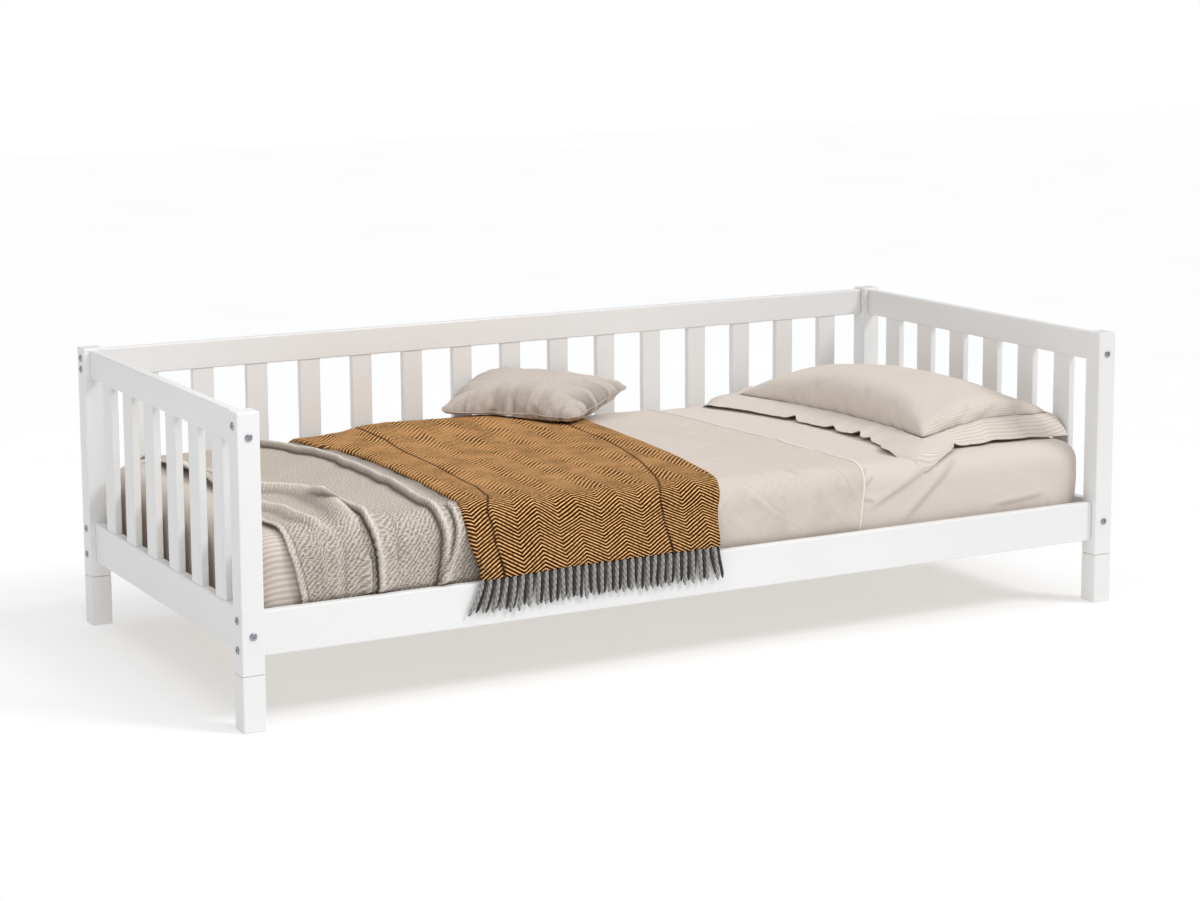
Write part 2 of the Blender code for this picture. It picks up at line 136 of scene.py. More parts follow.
class Look:
    """A material and short ways to add nodes to it. lay names the mesh attribute with each point's place on the flat
    cloth. Without it the nodes use the object's own coordinates. Both are in metres."""

    def __init__(self, name, roughness, metallic=0.0, sheen=0.0, specular=0.5, lay=None):
        self.made = bpy.data.materials.new(name)
        self.made.use_nodes = True
        self.tree, self.lay = self.made.node_tree, lay
        self.shader = self.tree.nodes["Principled BSDF"]
        self.put("Roughness", roughness)
        self.put("Metallic", metallic)
        self.put("Specular IOR Level", specular)
        if sheen:
            self.put("Sheen Weight", sheen)
            self.put("Sheen Roughness", 0.5)

    def feed(self, socket, value):
        """Links a Value to an input, or sets it to a number, a vector or a colour."""
        if isinstance(value, Value):
            self.tree.links.new(value.socket, socket)
        else:
            socket.default_value = (*value, 1.0) if socket.type == "RGBA" else value

    def put(self, name, value):
        self.feed(self.shader.inputs[name], value)

    def add(self, kind, inputs, **settings):
        made = self.tree.nodes.new("ShaderNode" + kind)
        for key, value in settings.items():
            setattr(made, key, value)
        for key, value in inputs.items():
            self.feed(made.inputs[key], value)
        return made

    def value(self, kind, inputs, output=0, **settings):
        return Value(self, self.add(kind, inputs, **settings).outputs[output])

    def math(self, operation, a, b=0.0):
        return self.value("Math", {0: a, 1: b}, operation=operation)

    def span(self, value, first, last, low, high):
        """Goes from low to high as value goes from first to last, and stays there beyond."""
        return self.value("MapRange", {0: value, 1: first, 2: last, 3: low, 4: high})

    def wave(self, run, pitch):
        """Swings between 0 and 1, once in each pitch of run."""
        return self.math("SINE", run * (2 * math.pi / pitch)) * 0.5 + 0.5

    def painted(self, name, output="Fac"):
        return self.value("Attribute", {}, output, attribute_name=name)

    def place(self, stretch=1.0, turn=0.0, lay=None):
        lay = lay or self.lay
        start = self.painted(lay, "Vector") if lay else self.value("TexCoord", {}, "Object")
        scale = stretch if isinstance(stretch, tuple) else (stretch,) * 3
        return self.value("Mapping", {"Vector": start, "Scale": scale, "Rotation": (0, 0, turn)})

    def noise(self, stretch, detail=2.0, rough=0.5, turn=0.0):
        where = self.place(stretch, turn)
        return self.value("TexNoise", {"Vector": where, "Scale": 1.0, "Detail": detail, "Roughness": rough})

    def ramp(self, value, *stops):
        made = self.add("ValToRGB", {0: value})
        elements = made.color_ramp.elements
        while len(elements) < len(stops):
            elements.new(0.5)
        for element, (at, colour) in zip(elements, stops):
            element.position, element.color = at, (*colour, 1.0)
        return Value(self, made.outputs[0])

    def mix(self, share, a, b):
        return self.value("Mix", {0: share, 6: a, 7: b}, 2, data_type="RGBA")

    def bump(self, height, distance, strength, under=None):
        inputs = {"Height": height, "Distance": distance, "Strength": strength}
        if under:
            inputs["Normal"] = under
        return self.value("Bump", inputs)

    def split(self, where):
        return [Value(self, output) for output in self.add("SeparateXYZ", {0: where}).outputs]

    def weave(self, pitch):
        """Heights of a plain weave: threads over and under, about pitch apart."""
        x, y, _ = self.split(self.place())
        turn = 2 * math.pi / pitch
        return self.math("SINE", x * turn) * self.math("SINE", y * turn) * 0.5 + 0.5


def paint_look(name, along):
    """Satin lacquer with a faint grain along one axis."""
    look = Look(name, 0.34)
    stretch = [60.0] * 3
    stretch[along] = 2.2
    grain = look.noise(tuple(stretch), 4.0, 0.6)
    tone = look.ramp(look.noise(3.0), (0.3, (0.835, 0.833, 0.826)), (0.7, (0.865, 0.864, 0.86)))
    look.put("Base Color", look.mix(grain * 0.05, tone, (0.70, 0.70, 0.69)))
    look.put("Roughness", look.span(grain, 0.0, 1.0, 0.30, 0.44))
    orange_peel = look.bump(look.noise(420.0, 1.0), 0.00008, 0.35)
    look.put("Normal", look.bump(grain, 0.0003, 0.22, orange_peel))
    return look.made


def pine_look():
    look = Look("bare_pine", 0.62)
    bands = look.math("FRACT", look.noise((4.4, 30.8, 66.0), 3.0, 0.55) * 7.0)
    fine = look.noise((8.0, 160.0, 160.0), 3.0)
    tone = look.ramp(bands, (0.0, (0.74, 0.63, 0.49)), (0.55, (0.80, 0.70, 0.57)), (1.0, (0.68, 0.56, 0.42)))
    look.put("Base Color", look.mix(fine * 0.35, tone, (0.62, 0.51, 0.38)))
    look.put("Normal", look.bump(fine, 0.0004, 0.4))
    return look.made


def steel_look():
    look = Look("zinc_steel", 0.28, metallic=1.0)
    cloud = look.noise(900.0, 3.0)
    look.put("Base Color", look.ramp(cloud, (0.3, (0.26, 0.28, 0.31)), (0.7, (0.42, 0.44, 0.47))))
    look.put("Roughness", look.span(cloud, 0.0, 1.0, 0.22, 0.40))
    look.put("Normal", look.bump(cloud, 0.0001, 0.3))
    return look.made


def linen_look(name, light, dark, lay=None, pitch=0.0022):
    """Washed cotton: slubs both ways, a plain weave and soft blotches. A laid cloth has painted shade in its creases.
    """
    look = Look(name, 0.92, sheen=0.12, specular=0.25, lay=lay)
    slubs = look.noise((70.0, 560.0, 560.0)) + look.noise((560.0, 70.0, 560.0))
    tone = look.ramp(slubs * 0.5, (0.33, dark), (0.62, light))
    tone = look.mix(look.noise(9.0, 3.0, 0.6) * 0.22, tone, dark)
    if lay:
        # Painted shade in the creases.
        tone = look.mix(look.painted("crease"), tone, [0.42 * c for c in dark])
    look.put("Base Color", tone)
    look.put("Normal", look.bump(slubs, 0.0008, 0.30, look.bump(look.weave(pitch), 0.0004, 0.45)))
    return look.made


def rib_look(name, light, dark, pitch, lay=None, fade=None):
    """Cotton with fine ribs pitch apart, with painted shade in its creases. The ribs run the long way of the bed.
    fade gives the two x between which they almost vanish."""
    look = Look(name, 0.90, sheen=0.10, specular=0.25, lay=lay)
    x, y, z = look.split(look.place())
    run = look.noise(6.0) * (pitch * 0.9) + (y if lay else y + z)
    rib = look.wave(run, pitch) * (look.noise(160.0) * 0.7 + 0.55)
    if fade:
        rib = rib * look.span(x, *fade, 1.0, 0.12)
    tone = look.ramp(rib, (0.08, light), (0.75, dark))
    tone = look.mix(look.noise(7.0, 3.0) * 0.20, tone, dark)
    # Painted shade in the creases.
    look.put("Base Color", look.mix(look.painted("crease"), tone, [0.72 * c for c in dark]))
    look.put("Normal", look.bump(rib, -0.0012, 0.55, look.bump(look.weave(0.0020), 0.0003, 0.35)))
    return look.made


def knit_look():
    """A soft knit with small slanted stitches, with painted shade at a fold's foot and a painted highlight on its
    crest.
    """
    look = Look("taupe_knit", 0.97, sheen=0.08, specular=0.15, lay="lay")
    slant = math.radians(40)
    x, y, _ = look.split(look.place(turn=slant))
    rows = y * (2 * math.pi / 0.0078) + (look.noise(45.0) * 9.0 + x * 160.0)
    cells = look.math("SINE", rows) * 0.5 + 0.5
    lumps = look.noise((150.0, 280.0, 150.0), turn=slant)
    height = (lumps - 0.5) * 1.5 + cells * 0.40 + look.noise(480.0) * 0.30
    v = look.split(look.place())[1]
    height = (height - 0.35) * look.span(v, 0.28, 0.44, 0.50, 1.25) + 0.45
    tone = look.ramp(
        height, (0.10, (0.270, 0.225, 0.185)), (0.45, (0.500, 0.440, 0.385)), (0.85, (0.740, 0.680, 0.615))
    )
    tone = look.mix(look.noise(11.0, 3.0, 0.6) * 0.35, tone, (0.46, 0.395, 0.34))
    # Painted shade at the feet of folds, and a painted highlight on their crests.
    crease = look.painted("crease")
    tone = look.mix(look.span(crease, 0.0, 1.0, 0.0, 0.92), tone, (0.055, 0.040, 0.030))
    look.put("Base Color", look.mix(look.span(crease, 0.0, -1.0, 0.0, 0.95), tone, (0.800, 0.745, 0.680)))
    look.put("Normal", look.bump(height, 0.0026, 0.85))
    return look.made


HERRING_COLUMN = 0.048
HERRING_PITCH = 0.0072
STITCH_PITCH = 0.008
THROW_BEND = 0.385


def herring_look():
    """Ochre herringbone: slanted dark and light yarns that change hand from column to column. The rows stand
    farther apart on top of the bed, where the cloth is stretched out, than on its front."""
    look = Look("ochre_wool", 0.97, specular=0.08, lay="lay")
    u, v, _ = look.split(look.place())
    wander = look.noise(9.0)
    column = look.math("PINGPONG", wander * 0.010 + u, HERRING_COLUMN)
    stretched = look.math("MAXIMUM", v, THROW_BEND) + look.math("MINIMUM", v, THROW_BEND) * 0.50
    yarn = look.wave(column * 0.56 + stretched + wander * 0.0030, HERRING_PITCH)
    tone = look.ramp(
        (look.noise((150.0, 200.0, 150.0), 3.0) - 0.5) * 0.75 + yarn,
        (0.38, (0.012, 0.004, 0.0015)),
        (0.57, (0.120, 0.040, 0.009)),
        (0.79, (0.410, 0.170, 0.038)),
        (1.00, (0.920, 0.590, 0.260)),
    )
    # On top of the bed the pattern gives way, in patches, to a plain ochre.
    plain_patches = look.span(look.noise(13.0, 3.0, 0.6), 0.40, 0.62, 0.25, 1.0)
    on_top = look.span(v, THROW_BEND - 0.12, THROW_BEND + 0.05, 0.72, 0.06)
    tone = look.mix(plain_patches * on_top, tone, (0.520, 0.275, 0.112))
    left, right, _ = look.split(look.painted("seams", "Vector"))
    nearest = look.math("MINIMUM", look.math("ABSOLUTE", left), look.math("ABSOLUTE", right))
    stitched = look.span(nearest, 0.0016, 0.0052, 1.0, 0.0) * (look.wave(v, STITCH_PITCH) * 0.44 + 0.56)
    look.put("Base Color", look.mix(stitched, tone, (0.030, 0.011, 0.004)))
    look.put("Normal", look.bump(look.noise(900.0) * 0.35 + yarn, 0.0012, 0.55))
    return look.made


def yarn_look(name, light, dark, pitch):
    """Twisted yarn: v of the flat coordinates runs along it, u once round it."""
    look = Look(name, 0.95, sheen=0.2, specular=0.15)
    u, v, _ = look.split(look.place(lay="lay"))
    height = look.noise(1600.0) * 0.4 + look.wave(v * (1 / pitch) + u, 1.0) * 0.8
    look.put("Base Color", look.ramp(height, (0.2, dark), (0.85, light)))
    look.put("Normal", look.bump(height, 0.0008, 0.6))
    return look.made


def ticking_look():
    """Quilted ticking: fine cloth with a lattice of sewn lines."""
    look = Look("mattress_ticking", 0.92, sheen=0.1, specular=0.25)
    x, y, _ = look.split(look.place())
    lanes = [look.span(look.math("PINGPONG", run, 0.055), 0.0, 0.012, 0.0, 1.0) for run in (x + y, x - y)]
    quilt, fine = look.math("MINIMUM", *lanes), look.noise(500.0)
    tone = look.ramp(quilt, (0.0, (0.62, 0.60, 0.56)), (0.5, (0.80, 0.78, 0.74)))
    look.put("Base Color", look.mix(fine * 0.25, tone, (0.66, 0.63, 0.58)))
    look.put("Normal", look.bump(quilt, 0.004, 0.8, look.bump(fine, 0.0005, 0.4)))
    return look.made


def floor_look():
    """A pale floor that glows a little, like one lit from below through a cloth, so that its shadows stay light."""
    look = Look("pale_floor", 0.55, specular=0.0)
    tone = look.ramp(look.noise(1.5, 3.0), (0.3, (0.578, 0.583, 0.592)), (0.7, (0.598, 0.603, 0.612)))
    look.put("Base Color", tone)
    look.put("Emission Color", (1.0, 1.0, 1.0))
    look.put("Emission Strength", 0.42)
    return look.made


# ---------------------------------------------------------------- mesh helpers


def smooth(t):
    t = np.clip(t, 0.0, 1.0)
    return t * t * (3 - 2 * t)


def bell(t):
    return np.exp(-(t**2))


def drift(x, y, scale, seed, octaves=2):
    """Smooth noise from -1 to 1 at points x, y, with features about scale long."""
    total, size, height = np.zeros(np.broadcast(x, y).shape), scale, 1.0
    for octave in range(octaves):
        table = np.random.default_rng(seed * 31 + octave).uniform(-1, 1, (64, 64))
        px, py = np.asarray(x) / size + 17.3, np.asarray(y) / size + 9.7
        ix, iy = np.floor(px).astype(int), np.floor(py).astype(int)
        fx, fy = smooth(px - ix), smooth(py - iy)
        corner = [table[(ix + a) % 64, (iy + b) % 64] for a, b in ((0, 0), (1, 0), (0, 1), (1, 1))]
        low = corner[0] * (1 - fx) + corner[1] * fx
        high = corner[2] * (1 - fx) + corner[3] * fx
        total += height * (low * (1 - fy) + high * fy)
        size, height = size / 2.1, height * 0.5
    return total


def paint(piece, name, values):
    """Gives a mesh an attribute: a number or a vector at each of its points."""
    values = np.asarray(values, np.float32).ravel()
    kind, field = ("FLOAT", "value") if len(values) == len(piece.data.vertices) else ("FLOAT_VECTOR", "vector")
    piece.data.attributes.new(name, kind, "POINT").data.foreach_set(field, values)


def mesh_piece(name, points, faces, look, lay=None):
    """A smooth shaded mesh from numpy points and faces. lay holds each point's place on the flat cloth."""
    mesh = bpy.data.meshes.new(name)
    mesh.from_pydata(np.asarray(points).tolist(), [], [tuple(int(i) for i in f) for f in faces])
    mesh.materials.append(look)
    mesh.shade_smooth()
    mesh.update()
    made = bpy.data.objects.new(name, mesh)
    if lay is not None:
        paint(made, "lay", np.column_stack((lay, np.zeros(len(lay)))))
    SCENE.collection.objects.link(made)
    return made


def grid_faces(rows, columns, start=0, wrap=False):
    """Quads over a grid of points. With wrap the last column joins the first."""
    i = np.arange(rows - 1)[:, None]
    j = np.arange(columns if wrap else columns - 1)[None, :]
    k = (j + 1) % columns
    here, above = i * columns, (i + 1) * columns
    return np.stack(np.broadcast_arrays(here + j, here + k, above + k, above + j), -1).reshape(-1, 4) + start


def capped_faces(rows, columns, start=0, low=True):
    """Quads round a stack of rings, a lid on the last one and, with low, one on the first."""
    faces = grid_faces(rows, columns, start, wrap=True).tolist()
    last = start + (rows - 1) * columns
    if low:
        faces.append(list(range(start + columns - 1, start - 1, -1)))
    return faces + [list(range(last, last + columns))]


def distances(line):
    """How far along a line of points each of them is."""
    return np.concatenate(([0], np.cumsum(np.linalg.norm(np.diff(line, axis=0), axis=1))))


def tubes(name, lines, radii, look, sides=6):
    """Round strands along lines of points, capped, in one mesh. Each has one radius, or one for each point."""
    points, faces, lay, start = [], [], [], 0
    turn = np.linspace(0, 2 * math.pi, sides, endpoint=False)
    for line, radius in zip(lines, radii):
        line = np.asarray(line, float)
        radius = np.broadcast_to(np.asarray(radius, float), (len(line),))
        ahead = np.gradient(line, axis=0)
        ahead /= np.linalg.norm(ahead, axis=1)[:, None] + 1e-12
        reference = np.array([0.0, 0.0, 1.0]) if abs(ahead[:, 2]).mean() < 0.8 else np.array([1.0, 0.0, 0.0])
        side = np.cross(ahead, reference)
        side /= np.linalg.norm(side, axis=1)[:, None] + 1e-12
        top = np.cross(side, ahead)
        around = np.cos(turn)[:, None] * side[:, None] + np.sin(turn)[:, None] * top[:, None]
        points.append((line[:, None] + radius[:, None, None] * around).reshape(-1, 3))
        flat = np.broadcast_arrays(turn / (2 * math.pi), distances(line)[:, None])
        lay.append(np.stack(flat, -1).reshape(-1, 2))
        faces += capped_faces(len(line), sides, start)
        start += len(line) * sides
    made = mesh_piece(name, np.concatenate(points), faces, look, np.concatenate(lay))
    face_out(made)
    return made


def face_out(piece):
    shape = bmesh.new()
    shape.from_mesh(piece.data)
    bmesh.ops.recalc_face_normals(shape, faces=shape.faces)
    shape.to_mesh(piece.data)
    shape.free()


def modify(piece, kind, **settings):
    made = piece.modifiers.new(kind.lower(), kind)
    for key, value in settings.items():
        setattr(made, key, value)


# ---------------------------------------------------------------- the mattress and what lies over it

BED_LOW, BED_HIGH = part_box("mattress")
TOP = BED_HIGH.z
HALF_LONG, HALF_WIDE = BED_HIGH.x, BED_HIGH.y - 0.003
EDGE = 0.046
FLAT = HALF_WIDE - EDGE
FITTED_THICK, SHEET_THICK, BLANKET_THICK, THROW_THICK = 0.0011, 0.0010, 0.0032, 0.0046
PIPING_RADIUS, CORD_RADIUS, SEAM_RADIUS, STITCH_RADIUS = 0.0032, 0.0030, 0.0012, 0.0009
RAIL_FACE, RAIL_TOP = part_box("front_low_rail")[0].y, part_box("front_low_rail")[1].z


def over_mattress(v, lift):
    """Where a cloth that lies lift above the mattress is, as y, z and its outward normal. v is 0 over the middle of
    the bed, grows towards the front edge, and goes on down the front. Below zero it runs to the back edge."""
    radius = EDGE + lift
    side, run = np.where(v >= 0, -1.0, 1.0), np.abs(v)
    angle = np.clip((run - FLAT) / radius, 0, math.pi / 2)
    down = np.clip(run - FLAT - radius * math.pi / 2, 0, None)
    y = side * (np.minimum(run, FLAT) + radius * np.sin(angle))
    z = TOP - EDGE + radius * np.cos(angle) - down
    return y, z, side * np.sin(angle), np.cos(angle)


def v_of(y=None, z=None, lift=0.01):
    """The v of a point on top at y, or on the front at height z."""
    radius = EDGE + lift
    if z is None:
        return -y if -y <= FLAT else FLAT + radius * math.asin(min((-y - FLAT) / radius, 1.0))
    if z > TOP - EDGE:
        return FLAT + radius * math.acos(min((z - TOP + EDGE) / radius, 1.0))
    return FLAT + radius * math.pi / 2 + TOP - EDGE - z


def cloth(name, look, spacing, v_ends, ends, lift, displace, settle=None, **painted):
    """A sheet laid across the bed, lift above the mattress: a number or a function. ends gives its first and last x
    for each v. displace gives how far each point goes along x and out along the normal. settle corrects the final
    points. painted has functions of u and v for further attributes: a number or a vector at each point."""
    vs = np.arange(v_ends[0], v_ends[1] + spacing / 2, spacing)
    first, last = ends(vs)
    count = int(math.ceil((last - first).max() / spacing)) + 1
    share = np.linspace(0, 1, count)[:, None]
    u = first[None] + share * (last - first)[None]
    v = np.broadcast_to(vs[None], u.shape)
    base = lift(u, v) if callable(lift) else np.full(u.shape, lift)
    along, out = displace(u, v)
    y, z, ny, nz = over_mattress(v, base)
    points = np.stack((u + along, y + ny * out, z + nz * out), -1)
    if settle:
        points = settle(points, u, v)
    lay = np.stack((u - first.mean(), v), -1).reshape(-1, 2)
    made = mesh_piece(name, points.reshape(-1, 3), grid_faces(*u.shape), look, lay)
    for label, value_at in painted.items():
        paint(made, label, value_at(u, v))
    return made, points


def thicken(piece, thick):
    """Gives a sheet its thickness. The faces of a laid cloth point up, so it grows away from what it lies on."""
    modify(piece, "SOLIDIFY", thickness=thick, offset=1.0, use_even_offset=False)


class Fold:
    """A ridge in a cloth along a line of (v, x) points. It leans over to one side and dies out over fade at its ends.
    broad makes its left flank that much wider. dark is how deep the painted shade at the foot of its left flank is,
    or of its right flank where it leans that way, and light how strong the painted highlight on its crest is."""

    def __init__(self, line, height, width, lean, fade, broad=1.0, dark=0.0, light=0.0):
        self.v, self.x = np.array(sorted(line)).T
        self.height, self.width, self.lean, self.fade, self.broad = height, width, lean, fade, broad
        self.dark, self.light = dark, light

    def weight(self, v):
        start = smooth((v - self.v[0]) / self.fade[0]) if self.fade[0] else 1.0
        end = smooth((self.v[-1] - v) / self.fade[1]) if self.fade[1] else 1.0
        return start * end

    def across(self, u, v):
        away = u - np.interp(v, self.v, self.x)
        return away / np.where(away < 0, self.width * self.broad, self.width)

    def push(self, u, v):
        t = self.across(u, v)
        bump = bell(t) * self.weight(v)
        pinch = -t * bell(t) * self.weight(v) * self.width * 0.55
        return self.lean * self.height * bump + pinch, self.height * bump

    # Painted shade at the foot of the leaning flank, less a painted highlight on the crest.
    def crease(self, u, v):
        t = self.across(u, v) * (1 if self.lean <= 0 else -1)
        foot = bell((t + 1.28) / 0.46) * self.dark
        crest = bell((t - 0.05) / 0.40) * self.light
        return (foot - crest) * self.weight(v)


SHEET_CREASES = (
    ((0.385, 0.262), (0.625, 0.380), 0.0042, 0.0085),
    ((0.482, 0.226), (0.665, 0.388), 0.0046, 0.0100),
    ((0.384, 0.300), (0.432, 0.288), 0.0024, 0.0050),
    ((0.386, 0.318), (0.428, 0.345), 0.0024, 0.0050),
    ((0.384, 0.336), (0.418, 0.372), 0.0022, 0.0050),
    ((0.720, 0.247), (0.900, 0.262), 0.0022, 0.0070),
)
CREASED_X = (0.36, 0.94)


def sheet_creases(x, run):
    """How far the creases on the fitted sheet's front stand out at (x, run), and the shade under them. Run is the
    height on the flat side and goes on over the rounded edge. Each crease has its two ends, height and width."""
    out, shade = 0 * x, 0 * x
    for (x0, run0), (x1, run1), height, width in SHEET_CREASES:
        length = math.hypot(x1 - x0, run1 - run0)
        cos, sin = (x1 - x0) / length, (run1 - run0) / length
        along = ((x - x0) * cos + (run - run0) * sin) / length
        across = ((run - run0) * cos - (x - x0) * sin) / width
        ends = smooth(along / 0.3) * smooth((1 - along) / 0.3)
        out = out + height * ends * bell(across)
        shade = shade + ends * np.exp(-((across + 0.9) ** 2) / 0.6)
    return out, shade


def round_outline(walk, half_x, half_y, corner):
    """Points and outward normals at distances walk round a rectangle with round corners. It starts where the side
    towards +x does and goes round by +y."""
    points, normals = [], []
    for run in walk:
        outward = 1
        for out, side in ((half_x, half_y - corner), (half_y, half_x - corner)) * 2:
            length = 2 * side + corner * math.pi / 2
            if run < length:
                break
            run, outward = run - length, outward * 1j
        normal = outward * np.exp(1j * max(run - 2 * side, 0) / corner)
        points.append(outward * (out - corner + 1j * (min(run, 2 * side) - side)) + corner * normal)
        normals.append(normal)
    return [np.column_stack((np.real(at), np.imag(at))) for at in (points, normals)]


def fitted_sheet(look):
    """The sheet round the whole mattress: a closed skin in rings, gathered at its hem below. Its stretch of the front
    that has creases is divided finely."""
    hem = BED_LOW.z + 0.010
    profile = [(0.030, hem - 0.004), (0.010, hem - 0.005), (0.002, hem), (0.0, hem + 0.010)]
    profile += [(0.0, z) for z in np.linspace(hem + 0.02, TOP - EDGE - 0.004, 28)]
    profile += [(EDGE * (1 - math.cos(a)), TOP - EDGE + EDGE * math.sin(a)) for a in np.linspace(0, math.pi / 2, 17)]
    profile += [(d, TOP) for d in np.linspace(EDGE + 0.012, HALF_WIDE - 0.012, 26)]
    side_x = HALF_LONG - EDGE
    perimeter = 4 * (side_x + FLAT) + 2 * math.pi * EDGE
    front_middle = perimeter - side_x - EDGE * math.pi / 2
    fine = front_middle + np.linspace(*CREASED_X, 150)
    walk = np.linspace(0, perimeter, 460, endpoint=False)
    walk = np.sort(np.append(walk[(walk < fine[0] - 0.004) | (walk > fine[-1] + 0.004)], fine))
    outline, normal = round_outline(walk, HALF_LONG, HALF_WIDE, EDGE)
    near_corner = bell((np.abs(outline[:, 0]) - HALF_LONG) / 0.16)
    inner = EDGE * 0.6
    rows, lay, shades = [], [], []
    for inset, z in profile:
        ring = outline - normal * min(inset, inner)
        rise = math.acos(np.clip(1 - inset / EDGE, 0, 1)) if z > TOP - EDGE else 0.0
        on_front = (normal[:, 1] < -0.999) & (inset <= EDGE + 0.001)
        out, shade = sheet_creases(outline[:, 0], min(z, TOP - EDGE) + EDGE * rise)
        out, shade = out * on_front, shade * on_front
        if inset > inner:
            ring *= [(half - inset) / (half - inner) for half in (HALF_LONG, HALF_WIDE)]
        low = smooth((BED_LOW.z + 0.07 - z) / 0.06)
        ruffle = np.sin(walk / 0.0062 + drift(walk, 0 * walk, 0.05, 3)) * 0.0016 * low * (0.35 + near_corner)
        side = smooth((TOP - z) / 0.03) * smooth((z - BED_LOW.z) / 0.03)
        slack = np.minimum(drift(walk + z * 1.3, z + 0 * walk, 0.11, 5) * 0.0022 * side, 0.0012)
        height = z + drift(ring[:, 0], ring[:, 1], 0.21, 7) * 0.0012 * (1 - side)
        ring = ring + normal * (slack + ruffle + out * math.cos(rise))[:, None]
        rows.append(np.column_stack((ring, height + out * math.sin(rise))))
        shades.append(0.42 * np.minimum(shade, 1))
        lay.append(np.column_stack((walk, np.full(len(walk), z))))
    faces = capped_faces(len(rows), len(walk), low=False)
    made = mesh_piece("fitted_sheet_cover", np.concatenate(rows), faces, look, np.concatenate(lay))
    # Painted shade under the creases on the front.
    paint(made, "crease", np.concatenate(shades))
    thicken(made, FITTED_THICK)
    return made


def mattress_core(look, edge_look):
    """The mattress as it shows from below: a soft bordered pad with piping round its lower edge."""
    low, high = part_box("slat_roll")[1].z + 0.0004, TOP - 0.004
    half = np.array([HALF_LONG - 0.004, HALF_WIDE - 0.004])
    count, squareness = 240, 14.0
    turn = np.linspace(0, 2 * math.pi, count, endpoint=False)
    round_off = np.column_stack((np.cos(turn), np.sin(turn)))
    outline = np.sign(round_off) * np.abs(round_off) ** (2 / squareness)
    centre = half[1] - 0.01
    profile = [(centre, low), (0.30, low), (0.12, low), (0.045, low + 0.0005), (0.022, low + 0.003)]
    profile += [(0.008, low + 0.010), (0.002, low + 0.020), (0.0, low + 0.045), (0.0, TOP - 0.06)]
    profile += [(0.012, TOP - 0.02), (0.05, high), (0.3, high), (centre, high)]
    rows = [np.column_stack((outline * (half - inset), np.full(count, z))) for inset, z in profile]
    core = mesh_piece("mattress_core", np.concatenate(rows), capped_faces(len(rows), count), look)
    face_out(core)
    ring = np.column_stack((outline * (half - 0.012), np.full(count, low + 0.0062)))
    piping = tubes("mattress_piping", [np.vstack((ring, ring[:1]))], [PIPING_RADIUS], edge_look, sides=8)
    return core, piping


def top_sheet(look, edge_look):
    """The top sheet, with a corded edge towards the head."""
    back, front = v_of(y=0.42) - 0.060, v_of(z=RAIL_TOP - 0.028)
    edge_v = [back, -0.43, -0.30, 0.0, 0.30, v_of(y=-0.42), v_of(z=0.33), v_of(z=0.236), front]
    edge_x = [0.345, 0.345, 0.352, 0.378, 0.394, 0.398, 0.392, 0.380, 0.376]

    def ends(v):
        return np.full(v.shape, -0.880), np.interp(v, edge_v, edge_x)

    folds = [
        Fold(line, height, width, 0.3, (0.10, 0.10), dark=0.34)
        for line, height, width in (
            ([(-0.30, 0.14), (0.10, 0.30), (0.33, 0.41)], 0.0075, 0.017),
            ([(-0.22, 0.24), (0.05, 0.36), (0.20, 0.42)], 0.0050, 0.012),
            ([(0.20, 0.10), (0.42, 0.22), (0.47, 0.33)], 0.0062, 0.016),
            ([(0.40, 0.06), (0.49, 0.16), (0.545, 0.28)], 0.0052, 0.013),
            ([(0.46, 0.20), (0.52, 0.32), (0.56, 0.41)], 0.0046, 0.011),
            ([(0.36, 0.30), (0.44, 0.34), (0.50, 0.36)], 0.0040, 0.009),
        )
    ]

    def displace(u, v):
        out = 0.0030 + sum(fold.push(u, v)[1] for fold in folds) + drift(u, v, 0.13, 11) * 0.0022
        out = out + drift(u * 0.5 + v, u - v * 0.5, 0.05, 12) * 0.0011
        out = out + 0.0010 * bell((np.interp(v, edge_v, edge_x) - u) / 0.03)
        low = smooth((v - v_of(z=0.262)) / 0.03)
        front, behind = out * (1 - low) + 0.001 * low, out * (1 - smooth((-v - 0.42) / 0.02)) + 0.0006
        return 0 * u, np.where(v > 0, front, behind)

    # Painted shade under the folds, with soft blotches of painted shade down the front.
    def crease(u, v):
        blotches = 0.10 * drift(u, v, 0.05, 13) * smooth((v - 0.36) / 0.1)
        return np.clip(sum(fold.crease(u, v) for fold in folds) + blotches, 0, 0.5)

    sheet, points = cloth("top_sheet_linen", look, 0.0060, (back, front), ends, 0.0022, displace, crease=crease)
    thicken(sheet, SHEET_THICK)
    rim = points[-1]
    cord = tubes("top_sheet_piping", [rim + [0.0012, 0, 0.0010]], [CORD_RADIUS], edge_look, sides=8)
    return sheet, cord


BLANKET_LIFT = 0.0065
BLANKET_END = 0.205
SCALLOP_X, SCALLOP_PITCH = -0.7445, 0.0024
BLANKET_HEM = (
    (-0.44, -0.925), (-0.30, -0.915), (-0.06, -0.905), (0.10, -0.905), (0.20, -0.918), (0.28, -0.936),
    (0.33, -0.940), (0.40, -0.934), (0.455, -0.928), (0.50, -0.915), (0.55, -0.904), (0.62, -0.897),
)


